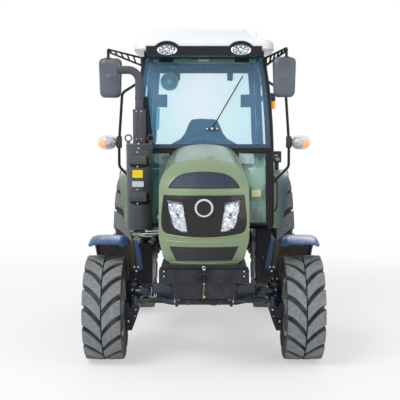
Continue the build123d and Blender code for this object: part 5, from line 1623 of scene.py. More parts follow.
def make_guard(name, side):
    """Crowned cap laid over the guard, its rolled lips, brown underside and the stay's bolts."""
    cap, under, bolts = forms(3)
    r, w = GUARD_RADIUS, GUARD_HALF
    degrees = evenly(20.6, 111.4, 40)
    crown = smooth_path([(w - 0.0006, r - 0.045, 0), (w - 0.0008, r - 0.030, 0), (w - 0.016, r - 0.0125, 0),
                         (w - 0.048, r - 0.0025, 0), (w - 0.090, r - 0.0004, 0), (0, r - 0.0002, 0)], 3)
    section = [(p.x, p.y) for p in crown]
    section += [(-x, rad) for x, rad in reversed(section[:-1])]

    def drawn(x, rad, d):
        late = max(0.0, (d - 94) / 17.4)
        lip = 0.045 - 0.027 * late**1.4
        return guard_point(side, x * (1 - 0.05 * late**3), max(rad, r - lip), d)

    rows = [[drawn(x, rad, d) for x, rad in section] for d in degrees]
    cap.strip(rows, thick=0.005)
    for x in (w - 0.004, -w + 0.004):
        cap.tube([drawn(x, r - 0.045, d) for d in degrees], 0.0042, 8)
    for d in (degrees[0], degrees[-1]):
        cap.tube([drawn(x * 0.985, rad - 0.003, d) for x, rad in section], 0.0042, 6)
    cap.piece(f"front_guard_cap_{name}", "guard_painted_sky_reflection", f"knuckle_{name}", replaces=(f"front_guard_{name}",))
    stay = Form()
    post_top = FRONT_AXLE_Y + 0.120
    crest = WHEEL_HEIGHT["front"] + math.sqrt((r - 0.046) ** 2 - 0.120**2) + 0.008
    x0, x1 = sorted((side * 0.536, side * 0.584))
    stay.box((x0, post_top + 0.008, 0.740), (x1, post_top + 0.020, crest), 0.004, 2)
    x0, x1 = sorted((side * 0.536, side * (GUARD_MIDDLE - w + 0.008)))
    stay.box((x0, post_top - 0.020, crest - 0.012), (x1, post_top + 0.020, crest), 0.004, 2)
    stay.piece(f"front_guard_stay_{name}", "chassis_paint", f"knuckle_{name}")
    bracket = Form()
    y_b = FRONT_AXLE_Y + 0.064
    flank = Form()
    inner_edge = [(0.548, 0.905), (0.518, 0.905), (0.490, 0.800), (0.478, 0.690), (0.488, 0.676),
                  (0.520, 0.676)]
    outer_edge = [(0.590, 0.905), (0.548, 0.905), (0.520, 0.676), (0.534, 0.660), (0.560, 0.672)]
    for form, channel in ((bracket, inner_edge), (flank, outer_edge)):
        face = [Vector((side * x, y_b + (0.905 - z) * 0.02, z)) for x, z in channel]
        form.loft([face, [p + Vector((0, 0.006, 0)) for p in face]])
        form.tube([face[0], face[-1]], 0.0045, 8)
        form.tube([face[1], face[2]], 0.0045, 8)
    flank.tube([(side * 0.505, y_b + 0.01, 0.676), (side * 0.535, FRONT_AXLE_Y + 0.080, 0.640)], 0.010, 10)
    for x, z in ((0.512, 0.700), (0.540, 0.700), (0.525, 0.668)):
        bolts.bolt((side * x, y_b - 0.001, z), (0, -1, 0), 0.014, 0.007)
    bracket.piece(f"front_guard_bracket_{name}", "guard_painted_sky_reflection", f"knuckle_{name}")
    flank.piece(f"front_guard_flank_{name}", "brown_under", f"knuckle_{name}")
    inner = [(x * 0.93, rad - 0.0135) for x, rad in section[4:-4]]
    under.strip([[guard_point(side, x, rad, d) for x, rad in inner] for d in degrees[1:-1]], thick=0.001)
    under.piece(f"front_guard_underside_{name}", "brown_under", f"knuckle_{name}")
    post_y = FRONT_AXLE_Y + 0.120
    for z in (0.770, 0.792):
        bolts.bolt((side * 0.562, post_y - 0.026, z), (0, -1, 0), 0.016, 0.008, 0.012)
    for dx in (-0.10, -0.06):
        top = guard_point(side, dx, r - 0.0025, 74)
        bolts.dome(top, (0, math.cos(math.radians(74)), math.sin(math.radians(74))), 0.010, 0.004)
    bolts.piece(f"front_guard_bolts_{name}", "bright_steel", f"knuckle_{name}")


for name, side in SIDES:
    make_guard(name, side)


# ---------------------------------------------------------------- front plate, axle and steering
def make_front_plate():
    """Bright pins and bolts of the weight carrier, and its rounded edges."""
    steel, dark = forms(2)
    y = FRONT_AXLE_Y - 0.612
    corners = ((-0.311, 0.780), (0.311, 0.780), (0.311, 0.694), (-0.311, 0.694))
    loop = [Vector((x, y + 0.001, z)) for x, z in corners]
    dark.tube(dense3(loop, 0.05), 0.0028, 6, closed=True)
    for x in (-0.280, 0.280):
        for z in (0.737, 0.771):
            dark.lathe([(0, 0.0048), (0.0, 0.0098), (-0.0006, 0.0102), (-0.0006, 0.0048)],
                       facing_front((x, y - 0.0008, z)), 20)
    steel.lathe([(0.0, 0), (0.0, 0.0088), (0.098, 0.0088), (0.100, 0.0135), (0.106, 0.0135),
                 (0.108, 0.010), (0.108, 0)], upright((0, y - 0.014, 0.6842)), 24)
    steel.tube([(0.0, y - 0.014, 0.790), (0.012, y - 0.014, 0.802), (0.0, y - 0.014, 0.812),
                (-0.012, y - 0.014, 0.802), (0.0, y - 0.014, 0.790)], 0.0028, 8)
    for x in (-0.038, 0.032):
        dark.box((x, y - 0.0275, 0.702), (x + 0.006, y - 0.002, 0.768), 0.002)
    dark.box((-0.312, y + 0.040, 0.779), (0.312, y + 0.052, 0.797), 0.004)
    dark.box((-0.218, y + 0.0045, 0.578), (0.218, y + 0.007, 0.586), 0.001)
    dark.box((-0.010, y - 0.004, 0.696), (0.010, y + 0.002, 0.716), 0.002)
    steel.dome((0, y + 0.006, 0.592), (0, -1, 0), 0.010, 0.008)
    steel.piece("front_plate_steel", "bright_steel")
    dark.piece("front_plate_edges", "chassis_paint")


def make_front_axle():
    """Bolts, grease nipples, hoses and fittings round the beam, its ends and the steering cylinder."""
    steel, hoses, white, castings, blue = forms(5)
    y = FRONT_AXLE_Y
    for side in (1, -1):
        x = side * 0.545
        for c, s in around(4, 0.5):
            steel.bolt((x + 0.024 * c, y + 0.024 * s, 0.616), (0, 0, 1), 0.011, 0.006)
        castings.lathe([(0, 0.053), (0, 0.058), (0.012, 0.058), (0.016, 0.054)], upright((x, y, 0.452)), 36)
        castings.lathe([(0, 0.053), (0, 0.0575), (0.010, 0.0575), (0.014, 0.053)], upright((x, y, 0.578)), 36)
        for z in (0.49, 0.54):
            steel.bolt((x, y - 0.054, z), (0, -1, 0), 0.014, 0.007, 0.011)
        for x_b in (0.455, 0.485):
            for z in (0.485, 0.555):
                steel.bolt((side * x_b, y - 0.044, z), (0, -1, 0), 0.014, 0.008, 0.011)
        for route in (((0.47, 0.500), (0.34, 0.488), (0.25, 0.470)),
                      ((0.47, 0.556), (0.30, 0.562), (0.14, 0.572))):
            castings.tube([(side * a, y - back, b) for (a, b), back in zip(route, (0.056, 0.0575, 0.0585))],
                          0.006, 8)
    pipe_y = y - STEER_AHEAD
    for side in (1, -1):
        barrel = [(0.0, 0), (0.0, 0.030), (0.010, 0.036), (0.045, 0.038), (0.050, 0.042), (0.064, 0.042),
                  (0.070, 0.036), (0.120, 0.034), (0.135, 0.028), (0.140, 0.0)]
        castings.lathe(barrel, along_x((side * 0.408, y - 0.060, 0.526), side), 36)
        blue.box((side * 0.318 - 0.078, y - 0.078, 0.500), (side * 0.318 + 0.078, y - 0.050, 0.590), 0.010, 4)
    for side in (1, -1):
        steel.lathe([(-0.010, 0.014), (-0.008, 0.020), (0.010, 0.020), (0.014, 0.016), (0.014, 0.0142)],
                    along_x((side * 0.212, pipe_y, 0.478), side), 28)
        steel.bolt((side * 0.19, pipe_y - 0.034, 0.494), (0, -1, 0), 0.018, 0.012)
        route = [(side * 0.19, pipe_y - 0.040, 0.494), (side * 0.20, pipe_y - 0.066, 0.520),
                 (side * 0.235, pipe_y - 0.050, 0.586), (side * 0.205, pipe_y + 0.02, 0.630),
                 (side * 0.180, y - 0.10, 0.660)]
        hoses.tube(smooth_path(route, 6), 0.008, 8)
        castings.lathe([(-0.012, 0.034), (-0.010, 0.0365), (0.010, 0.0365), (0.012, 0.034)],
                       along_x((side * 0.12, pipe_y, 0.478), side), 32)
    for x in (-0.40, -0.385):
        loop = [(x, y - 0.064, 0.545), (x - 0.020, y - 0.078, 0.508), (x + 0.002, y - 0.082, 0.478),
                (x + 0.024, y - 0.078, 0.506), (x + 0.006, y - 0.064, 0.545)]
        white.tube(smooth_path(loop, 6), 0.0038, 8)
    white.box((-0.402, y - 0.066, 0.540), (-0.368, y - 0.050, 0.560), 0.004)
    steel.bolt((-0.355, y - 0.058, 0.530), (0, -1, 0), 0.022, 0.012, 0.016)
    castings.lathe([(0, 0.0), (0, 0.052), (0.010, 0.052), (0.014, 0.046), (0.014, 0.0)],
                   facing_front((0.0, y - 0.058, 0.508)), 40)
    for c, s in around(6):
        steel.bolt((0.040 * c, y - 0.071, 0.508 + 0.040 * s), (0, -1, 0), 0.010, 0.005)
    steel.piece("axle_steel", "bright_steel")
    hoses.piece("steering_hoses", "rubber_seal")
    white.piece("white_axle_hoses", "pale_hose")
    castings.piece("axle_castings", "axle_blue")
    blue.piece("axle_blocks", "axle_blue")
    for name, side in SIDES:
        drive, nuts = forms(2)
        z = WHEEL_HEIGHT["front"]
        for c, s in around(8, 0.5):
            nuts.bolt((side * 0.532, y + 0.088 * c, z - 0.02 + 0.088 * s), (-side, 0, 0), 0.014, 0.007)
        drive.lathe([(0.0, 0.0), (0.0, 0.076), (0.006, 0.074), (0.010, 0.060), (0.014, 0.030), (0.015, 0)],
                    along_x((side * 0.5345, y, z - 0.02), -side), 40)
        for dz in (-0.10, -0.13):
            drive.tube([(side * 0.548, y - 0.0625, z + dz), (side * 0.600, y - 0.0625, z + dz)], 0.006, 6)
        pin_x = side * 0.520
        drive.lathe([(0, 0), (0, 0.026), (0.006, 0.026), (0.010, 0.020), (0.010, 0)],
                    frame_at((pin_x, y - 0.150, 0.4242), (1, 0, 0), (0, 0, -1)), 24)
        nuts.bolt((pin_x, y - 0.150, 0.414), (0, 0, -1), 0.020, 0.012)
        nuts.dome((side * 0.580, y - 0.062, 0.30), (0, -1, 0), 0.012, 0.008)
        drive.piece(f"final_drive_cover_{name}", "cast_paint", f"knuckle_{name}")
        nuts.piece(f"final_drive_nuts_{name}", "bright_steel", f"knuckle_{name}")
    rod_trim = Form()
    for side in (1, -1):
        rod_trim.lathe([(0, 0), (0, 0.0265), (0.004, 0.027), (0.010, 0.020), (0.012, 0)],
                       upright((side * 0.520, pipe_y, 0.5035)), 28)
        rod_trim.lathe([(-0.014, 0.014), (-0.012, 0.018), (0.012, 0.018), (0.014, 0.014)],
                       along_x((side * 0.478, pipe_y, 0.478), side), 24)
        rod_trim.lathe([(-0.050, 0.0142), (-0.048, 0.020), (0.048, 0.020), (0.050, 0.0142)],
                       along_x((side * 0.365, pipe_y, 0.478), side), 24)
    rod_trim.piece("steering_rod_ends", "cast_paint", "steering_rod")


STEER_AHEAD = 0.150
make_front_plate()
make_front_axle()


# ---------------------------------------------------------------- under the exhaust and beside the engine
def make_exhaust_foot():
    """Rods, block, wires and the filler knob beside the foot of the exhaust."""
    silver, green, white, knob = forms(4)
    for x, z, reach in ((-0.60, 0.946, 0.30), (-0.58, 0.926, 0.24)):
        silver.tube([(x, STACK.y - 0.060, z), (x + reach * 0.5, STACK.y - 0.080, z - 0.006),
                     (x + reach, STACK.y - 0.062, z)], 0.006, 8)
    for x in (-0.583, -0.467):
        silver.bolt((x, STACK.y - 0.075, 0.944), (0, -1, 0), 0.018, 0.010, 0.014)
    green.box((-0.580, STACK.y - 0.082, 0.902), (-0.508, STACK.y - 0.040, 0.930), 0.005)
    for k in range(3):
        x = -0.545 + 0.016 * k
        route = [(x, STACK.y - 0.070, 0.934), (x + 0.030, STACK.y - 0.092, 0.910),
                 (x + 0.075, STACK.y - 0.080, 0.898), (x + 0.105 + 0.01 * k, STACK.y - 0.05, 0.918)]
        white.tube(smooth_path(route, 6), 0.0035, 8)
    knob.lathe([(0, 0), (0, 0.012), (0.016, 0.014), (0.022, 0.022), (0.034, 0.022), (0.040, 0.014),
                (0.042, 0)], frame_at((-0.352, -0.60, 1.045), (0, 0, 1), (-0.6, -1, 0)), 24)
    knob.tube([(-0.335, -0.572, 1.045), (-0.300, -0.545, 1.045), (-0.240, -0.540, 1.045)], 0.008, 10)
    silver.tube([(0.352, -0.62, 1.010), (0.366, -0.64, 0.985), (0.352, -0.63, 0.950)], 0.010, 10)
    silver.tube([(0.352, -0.62, 1.010), (0.290, -0.60, 1.010), (0.230, -0.58, 1.010)], 0.007, 10)
    silver.piece("exhaust_foot_rods", "bright_steel")
    green.piece("exhaust_foot_block", "light_green")
    white.piece("exhaust_foot_wires", "pale_hose")
    knob.piece("filler_knob", "pink_cap")


make_exhaust_foot()


# ---------------------------------------------------------------- cab interior
SWELL_PRESSURE = 4.0
CLOTH_STIFFNESS = 18
SWELL_FRAMES = 20


def soft_pad(form_mesh, name, cap, voxel=0.0055):
    """Swells a closed mesh as a filled cushion: cloth with pressure, moved no further than the cap."""
    held = bpy.data.objects.new(name, form_mesh)
    bpy.context.collection.objects.link(held)
    remesh = held.modifiers.new("even", "REMESH")
    remesh.mode = "VOXEL"
    remesh.voxel_size = voxel
    depsgraph = bpy.context.evaluated_depsgraph_get()
    even = bpy.data.meshes.new_from_object(held.evaluated_get(depsgraph))
    held.modifiers.clear()
    held.data = even
    start = [v.co.copy() for v in even.vertices]
    cloth = held.modifiers.new("swell", "CLOTH")
    cloth.settings.use_pressure = True
    cloth.settings.uniform_pressure_force = SWELL_PRESSURE
    cloth.settings.effector_weights.gravity = 0
    cloth.settings.tension_stiffness = CLOTH_STIFFNESS
    cloth.settings.compression_stiffness = CLOTH_STIFFNESS
    scene = bpy.context.scene
    for k in range(1, SWELL_FRAMES + 1):
        scene.frame_set(k)
    depsgraph = bpy.context.evaluated_depsgraph_get()
    swollen = bpy.data.meshes.new_from_object(held.evaluated_get(depsgraph))
    held.modifiers.clear()
    scene.frame_set(1)
    for v, old in zip(swollen.vertices, start):
        move = v.co - old
        if move.length > cap:
            v.co = old + move * (cap / move.length)
    held.data = swollen
    for _ in range(2):
        smooth = bmesh.new()
        smooth.from_mesh(held.data)
        bmesh.ops.smooth_vert(smooth, verts=smooth.verts, factor=0.5, use_axis_x=True, use_axis_y=True,
                              use_axis_z=True)
        smooth.to_mesh(held.data)
        smooth.free()
    return held


def seat_form():
    """Cushion and wide backrest with wings, joined as one closed mesh a little under their size."""
    form = Form()
    form.box((-0.232, 0.575, 1.305), (0.232, 0.945, 1.388), 0.034, 5)
    rows = []
    outline = [(1.395, 0.232), (1.50, 0.236), (1.60, 0.228), (1.69, 0.212), (1.77, 0.190), (1.84, 0.158),
               (1.872, 0.136), (1.884, 0.104)]
    for z, half in outline:
        share = (z - 1.395) / 0.5
        front = 0.868 + 0.100 * share
        back = 0.968 + 0.090 * share
        ring = []
        for k in range(28):
            a = TURN * k / 28
            c, s = math.cos(a), math.sin(a)
            x = half * math.copysign(abs(c) ** 0.55, c)
            y = (front + back) / 2 + (back - front) / 2 * math.copysign(abs(s) ** 0.6, s)
            if s < 0:
                y += 0.016 * (1 - (abs(x) / half) ** 2)
            ring.append((x, y, z))
        rows.append(ring)
    form.loft(rows)
    return form


def make_seat():
    """Soft cushion in one piece, with its piping, hard shell and levers."""
    form = seat_form()
    mesh = bpy.data.meshes.new("seat_core")
    form.bm.to_mesh(mesh)
    form.bm.free()
    pad = soft_pad(mesh, "driver_seat", 0.010)
    pad.data.materials.clear()
    pad.data.materials.append(PAINT["seat_fabric"])
    for polygon in pad.data.polygons:
        polygon.use_smooth = True
    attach(pad, "chassis")
    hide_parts("seat_cushion")
    piping, shell, metal = forms(3)
    seam = [(x, 0.568 + 0.004 * abs(x) / 0.2, 1.352) for x in [-0.205 + 0.41 * k / 16 for k in range(17)]]
    piping.tube(seam, 0.0035, 6)
    for x in (-0.11, 0.0, 0.11):
        piping.tube([(x, 0.62 + 0.24 * k / 6, 1.3935) for k in range(7)], 0.003, 6)
    piping.piece("seat_piping", "rubber_seal")
    for side in (1, -1):
        x = side * 0.285
        rest = [(x, 0.700, 1.585), (x, 0.780, 1.600), (x, 0.900, 1.604), (x, 1.000, 1.600)]
        shell.tube(smooth_path(rest, 5), 0.030, 12, flat=0.8)
        shell.tube([(x, 1.000, 1.600), (side * 0.270, 1.030, 1.560), (side * 0.225, 1.035, 1.480)], 0.016, 10)
        wing = [(side * x, 1.050 - 0.09 * (1.78 - z), z) for x, z in (
            (0.170, 1.760), (0.206, 1.722), (0.232, 1.684), (0.280, 1.658), (0.322, 1.636), (0.342, 1.606),
            (0.344, 1.560), (0.330, 1.430), (0.200, 1.410))]
        shell.loft([[Vector(p) for p in wing], [Vector(p) + Vector((0, 0.022, 0)) for p in wing]])
        metal.tube([(side * 0.20, 0.66, 1.196), (side * 0.20, 0.72, 1.212), (side * 0.20, 0.90, 1.212)],
                   0.007, 8)
    shell.box((-0.215, 0.600, 1.281), (0.215, 0.950, 1.299), 0.006, 3)
    for k in range(7):
        z = 1.200 + 0.0105 * k
        half = 0.134 + (0.008 if k % 2 else 0.0)
        shell.box((-half, 0.696 - 0.004 * (k % 2), z), (half, 0.904 + 0.004 * (k % 2), z + 0.011), 0.003)
    metal.tube([(0.16, 0.58, 1.270), (0.10, 0.562, 1.262), (-0.10, 0.562, 1.262), (-0.16, 0.58, 1.270)],
               0.006, 8)
    shell.piece("seat_shell", "dark_plastic")
    metal.piece("seat_levers", "bright_steel")


def make_controls():
    """Wheel grip, knob and boss, column stalks, dash dials, pedals, levers and floor mat."""
    grip, dash, pale, pedals, mat, glow = forms(6)
    hub = Vector((0, 0.215, 1.585))
    tilt = math.radians(32)
    matrix = frame_at(hub, (1, 0, 0), (0, math.sin(tilt), math.cos(tilt)))
    for k in range(24):
        a = TURN * k / 24
        centre = matrix @ Vector((0.19 * math.cos(a), 0.19 * math.sin(a), 0))
        way = (matrix.to_3x3() @ Vector((-math.sin(a), math.cos(a), 0))).normalized()
        grip.lathe([(-0.009, 0.0135), (-0.006, 0.0152), (0.006, 0.0152), (0.009, 0.0135)],
                   frame_at(centre, (0, 0, 1), way), 12)
    grip.lathe([(0.024, 0), (0.024, 0.044), (0.030, 0.040), (0.036, 0.026), (0.038, 0)], matrix, 32)
    grip.lathe([(-0.04, 0.0), (-0.04, 0.032), (0.0, 0.036), (0.0, 0.0)], matrix, 28)
    grip.piece("steering_wheel_grip", "dark_plastic")
    for side in (1, -1):
        a = hub + Vector((side * 0.03, 0.005, -0.05))
        dash.tube([a, a + Vector((side * 0.09, -0.02, 0.0)), a + Vector((side * 0.15, -0.02, 0.012))],
                  [0.007, 0.006, 0.009], 8)
    face = frame_at((0, 0.046, 1.556), (1, 0, 0), (0, 0.5, 0.86))
    hood_points = [(-0.200, -0.055), (0.200, -0.055), (0.185, 0.050), (-0.185, 0.050)]
    dash.plate(hood_points, -0.012, 0.004, 0.004, 2, face)
    for x in (-0.105, 0.0, 0.105):
        centre = face @ Vector((x, 0, 0.004))
        ring = frame_at(centre, (1, 0, 0), (0, 0.5, 0.86))
        pale.lathe([(0, 0.034), (0.004, 0.038), (0.006, 0.036), (0.004, 0.033)], ring, 32)
        glow.lathe([(0.0, 0), (0.0, 0.033), (0.002, 0.033), (0.002, 0)], ring, 32)
        for k in range(9):
            a = math.radians(225 - 270 * k / 8)
            tick = centre + ring.to_3x3() @ Vector((0.028 * math.cos(a), 0.028 * math.sin(a), 0.002))
            pale.dome(tick, (0, 0.5, 0.86), 0.0016, 0.001)
        pale.tube([centre + ring.to_3x3() @ Vector((0, 0, 0.003)),
                   centre + ring.to_3x3() @ Vector((-0.016, 0.018, 0.003))],
                  0.0012, 6)
    dash.piece("dash_panel", "dark_plastic")
    pale.piece("dial_marks", "white_plastic")
    glow.piece("dial_faces", "black_gloss")
    for x, z in ((-0.16, 1.05), (0.10, 1.05), (0.18, 1.05)):
        pad = frame_at((x, 0.060, z), (1, 0, 0), (0, 0.75, 0.66))
        pedals.box((-0.034, -0.042, -0.005), (0.034, 0.042, 0.005), 0.004, 3, pad)
        for k in range(4):
            pedals.box((-0.030, -0.032 + 0.019 * k, 0.004), (0.030, -0.024 + 0.019 * k, 0.008),
                       0.0015, 1, pad)
        pedals.tube([(x, 0.056, z - 0.005), (x, 0.020, z + 0.04), (x, -0.01, z + 0.12)], 0.009, 8)
    for x, y, z in ((-0.330, 0.78, 1.385), (-0.400, 0.78, 1.385), (-0.365, 0.88, 1.385)):
        pedals.tube([(x, y, z), (x, y - 0.01, z + 0.06), (x, y - 0.02, z + 0.10)], [0.006, 0.005, 0.005], 8)
        mat.lathe([(-0.002, 0), (-0.002, 0.012), (0.012, 0.018), (0.026, 0.016), (0.034, 0.006), (0.035, 0)],
                  frame_at((x, y - 0.02, z + 0.098), (1, 0, 0), (0, -0.1, 1)), 16)
    for k in range(5):
        r = 0.030 - 0.004 * k
        mat.lathe([(0.012 * k, r), (0.012 * k + 0.006, r + 0.004), (0.012 * k + 0.012, r - 0.002),
                   (0.012 * k + 0.012, 0.008),
                   (0.012 * k, 0.008)], frame_at((-0.365, 0.697, 1.386), (1, 0, 0), (0, -0.15, 1)), 20)
    mat.box((-0.43, 0.02, 0.9445), (0.43, 0.12, 0.951), 0.003)
    for k in range(20):
        mat.box((-0.42 + 0.0445 * k, 0.125, 0.945), (-0.40 + 0.0445 * k, 0.185, 0.950), 0.0015, 1)
    pedals.piece("pedals_and_levers", "chassis_paint")
    mat.piece("knobs_and_mat", "dark_plastic")


def make_fan():
    """Cab fan's wire guard and blades."""
    centre = Vector((-0.345, 0, 2.250))
    guard, blades = forms(2)
    y = 0.958
    for k, r in enumerate((0.030, 0.052, 0.072, 0.087)):
        ring = [Vector((centre.x + r * c, y + 0.004 * (k == 3), centre.z + r * s)) for c, s in around(32)]
        guard.tube(ring, 0.0028 if k < 3 else 0.004, 6, closed=True)
    for c, s in around(12):
        guard.tube([(centre.x + 0.016 * c, y, centre.z + 0.016 * s),
                    (centre.x + 0.087 * c, y + 0.004, centre.z + 0.087 * s)], 0.0018, 5)
    guard.lathe([(0, 0), (0, 0.020), (0.006, 0.019), (0.009, 0.012), (0.009, 0)],
                facing_front((centre.x, y + 0.003, centre.z)), 24)
    guard.piece("fan_guard", "fan_pale")
    for k in range(4):
        a = TURN * k / 4
        rows = []
        for j in range(6):
            r = 0.016 + 0.062 * j / 5
            row = []
            for i in range(4):
                b = a + (i / 3 - 0.5) * (0.9 - 0.3 * j / 5)
                row.append((centre.x + r * math.cos(b), 0.9635 - 0.003 * (i / 3 - 0.5),
                            centre.z + r * math.sin(b)))
            rows.append(row)
        blades.strip(rows, thick=0.001)
    blades.piece("fan_blades", "dark_plastic")


def make_headliner():
    """Header cloth with its recesses, rear window hinges and stays, and the pale strip."""
    cloth, dark, plates, strip_piece, label, trim = forms(6)

    def film(form, x0, x1, z0, z1, out):
        rows = [[on_shield(x, z, out) for x in evenly(x0, x1, 24)] for z in evenly(z0, z1, 4)]
        form.strip(rows, thick=0.001)
    film(cloth, -0.440, 0.450, 2.348, 2.378, 0.0012)
    for side in (1, -1):
        film(dark, side * 0.330 - 0.062, side * 0.330 + 0.062, 2.350, 2.384, 0.0022)
    film(label, -0.050, 0.044, 2.359, 2.376, 0.0024)
    cloth.piece("header_cloth", "header_cloth")
    dark.piece("header_recesses", "dark_seam_and_shadow")
    label.piece("header_lamp", "pale_hose")
    inside = C_PILLAR_Y - 0.052
    for side in (1, -1):
        plates.box((side * 0.440 - 0.072, inside - 0.030, 1.998),
                   (side * 0.440 + 0.072, inside - 0.012, 2.126), 0.008, 3)
        plates.tube([(side * 0.440, inside - 0.034, 2.062), (side * 0.440, inside - 0.044, 2.062)], 0.016, 16)
        tab_x = 0.262 if side > 0 else -0.268
        plates.box((tab_x - 0.029, inside - 0.034, 2.262), (tab_x + 0.029, inside - 0.016, 2.372), 0.014, 4)
        post = [(side * 0.512, 1.405), (side * 0.480, 1.700), (side * 0.470, 2.000), (side * 0.440, 2.362),
                (side * 0.545, 2.362), (side * 0.575, 1.900), (side * 0.580, 1.405)]
        ring0 = [Vector((x, inside - 0.012, z)) for x, z in post]
        ring1 = [Vector((x, inside + 0.010, z)) for x, z in post]
        trim.loft([ring0, ring1])
    trim.box((-0.520, inside - 0.012, 2.338), (0.520, inside + 0.010, 2.372), 0.006)
    plates.piece("rear_window_catches", "dark_plastic")
    trim.piece("rear_inner_trim", "dark_plastic")
    holes = [(-0.464 + 0.0012 * k, 0.950, 1.785 + 0.024 * k) for k in range(9)]
    corners = ((-0.484, 1.765), (-0.450, 1.775), (-0.440, 1.985), (-0.468, 1.990))
    band = [Vector((x, 0.950, z)) for x, z in corners]
    strip_piece.loft([band, [p + Vector((0, 0.006, 0)) for p in band]])
    for hole in holes:
        strip_piece.dome(hole, (0, -1, 0), 0.006, 0.003)
    strip_piece.piece("pale_strap", "pale_strap")
    tag = Form()
    tag.box((0.414, shield_y(1.21) - 0.016, 1.182), (0.492, shield_y(1.21) - 0.012, 1.246), 0.0015)
    tag.piece("blank_tag", "pale_tag")


make_seat()
make_controls()
make_fan()
make_headliner()


# ---------------------------------------------------------------- wiper, rear lamps, rear end
def make_wiper_trim():
    """Wiper's pivot caps and rubber blade."""
    caps, blade = forms(2)
    for x in (0.028, 0.112):
        caps.dome(on_shield(x, 1.773, 0.019), (0, -1, 0.09), 0.0105, 0.007)
    caps.bolt(on_shield(0.070, 1.773, 0.040), (0, -1, 0.09), 0.016, 0.008, 0.012)
    caps.piece("wiper_caps", "bright_steel")
    line = [on_shield(0.190 + 0.148 * k / 10, 1.979 + 0.253 * k / 10,
                      0.0025 + 0.0008 * math.sin(math.pi * k / 10)) for k in range(11)]
    blade.tube(line, 0.0030, 6)
    for k in (1, 4, 6, 9):
        p = line[k]
        blade.tube([p, p + Vector((0, -0.016, 0))], 0.004, 6)
    hose = [on_shield(0.075, 1.790, 0.038), on_shield(0.150, 1.912, 0.034), on_shield(0.230, 2.046, 0.030)]
    blade.tube(smooth_path(hose, 6), 0.0022, 6)
    blade.piece("wiper_blade", "rubber_seal")


def make_rear_lamps():
    """Tail clusters on the fenders and side markers on the rear pillars, with their brackets."""
    black, amber, red, white, bolts = forms(5)
    y0, y1 = REAR_AXLE_Y - 0.030, REAR_AXLE_Y + 0.040
    for side in (1, -1):
        def span_x(a, b):
            return (a, b) if side > 0 else (-b, -a)
        x0, x1 = span_x(0.692, 0.768)
        black.box((x0, y0 + 0.002, 1.447), (x1, y1 - 0.012, 1.560), 0.008, 3)
        black.box((x0 - 0.002, y0, 1.500), (x1 + 0.002, y1 - 0.012, 1.506), 0.002, 1)
        fx0, fx1 = span_x(0.700, 0.745)
        black.box((fx0, REAR_AXLE_Y - 0.005, 1.372), (fx1, REAR_AXLE_Y + 0.015, 1.450), 0.004, 2)
        black.box((fx0 - 0.010, REAR_AXLE_Y - 0.020, 1.3715), (fx1 + 0.010, REAR_AXLE_Y + 0.030, 1.380),
                  0.003, 2)
        inner0, inner1 = span_x(0.699, 0.761)
        for form, z0, z1 in ((amber, 1.524, 1.555), (red, 1.486, 1.520), (white, 1.452, 1.482)):
            form.box((inner0, y1 - 0.013, z0), (inner1, y1 - 0.001, z1), 0.005, 3)
        amber.box((inner0, y0, 1.512), (inner1 - 0.030, y0 + 0.008, 1.524), 0.003, 2)
        white.box((inner0 + 0.008, y0, 1.466), (inner1 - 0.012, y0 + 0.006, 1.496), 0.004, 3)
        yc = C_PILLAR_Y - 0.028
        out = 0.700 if side > 0 else 0.642
        bx0, bx1 = span_x(0.600, out + 0.022)
        black.box((bx0, yc - 0.017, 2.072), (bx1, yc + 0.017, 2.112), 0.006, 3)
        tall0, tall1 = span_x(out - 0.032, out + 0.016)
        black.box((tall0, yc - 0.016, 2.105), (tall1, yc + 0.016, 2.142 if side > 0 else 2.118), 0.006, 3)
        hx0, hx1 = span_x(0.566, 0.606)
        black.box((hx0, yc - 0.013, 2.058), (hx1, yc + 0.013, 2.113), 0.004, 2)
        post = upright((side * out, yc, 1.979))
        black.lathe([(0.082, 0), (0.082, 0.020), (0.086, 0.0238), (0.092, 0.022), (0.093, 0)], post, 28)
        amber.lathe([(0.0, 0), (0.001, 0.016), (0.008, 0.0225), (0.030, 0.0236), (0.052, 0.0232),
                     (0.076, 0.0205), (0.084, 0.018), (0.084, 0)], post, 32)
        for z in (0.020, 0.038, 0.056):
            amber.lathe([(z - 0.0015, 0.0230), (z, 0.0239), (z + 0.0015, 0.0230)], post, 32)
        for z in (2.072, 2.102):
            bolts.bolt((side * 0.603, yc - 0.0175, z), (0, -1, 0), 0.008, 0.004)
    black.piece("rear_lamp_housings", "dark_plastic", replaces=("rear_lamps",))
    amber.piece("rear_lamp_amber", "amber_lens")
    red.piece("rear_lamp_red", "red_lens")
    white.piece("rear_lamp_white", "frosted_bulb")
    bolts.piece("rear_lamp_bolts", "bright_steel")


def make_heat_plate():
    """Black face and folded edge on the heat plate behind the exhaust pipe."""
    face = Form()
    outline = [(0.019, 1.640), (0.110, 1.640), (0.065, 2.028), (0.029, 2.028)]
    ring = [Vector((STACK.x + x, STACK.y + 0.0612, z)) for x, z in outline]
    face.loft([ring, [p + Vector((0, 0.0006, 0)) for p in ring]])
    face.tube([ring[1], ring[2]], 0.0025, 6)
    face.piece("heat_plate_face", "rubber_seal")


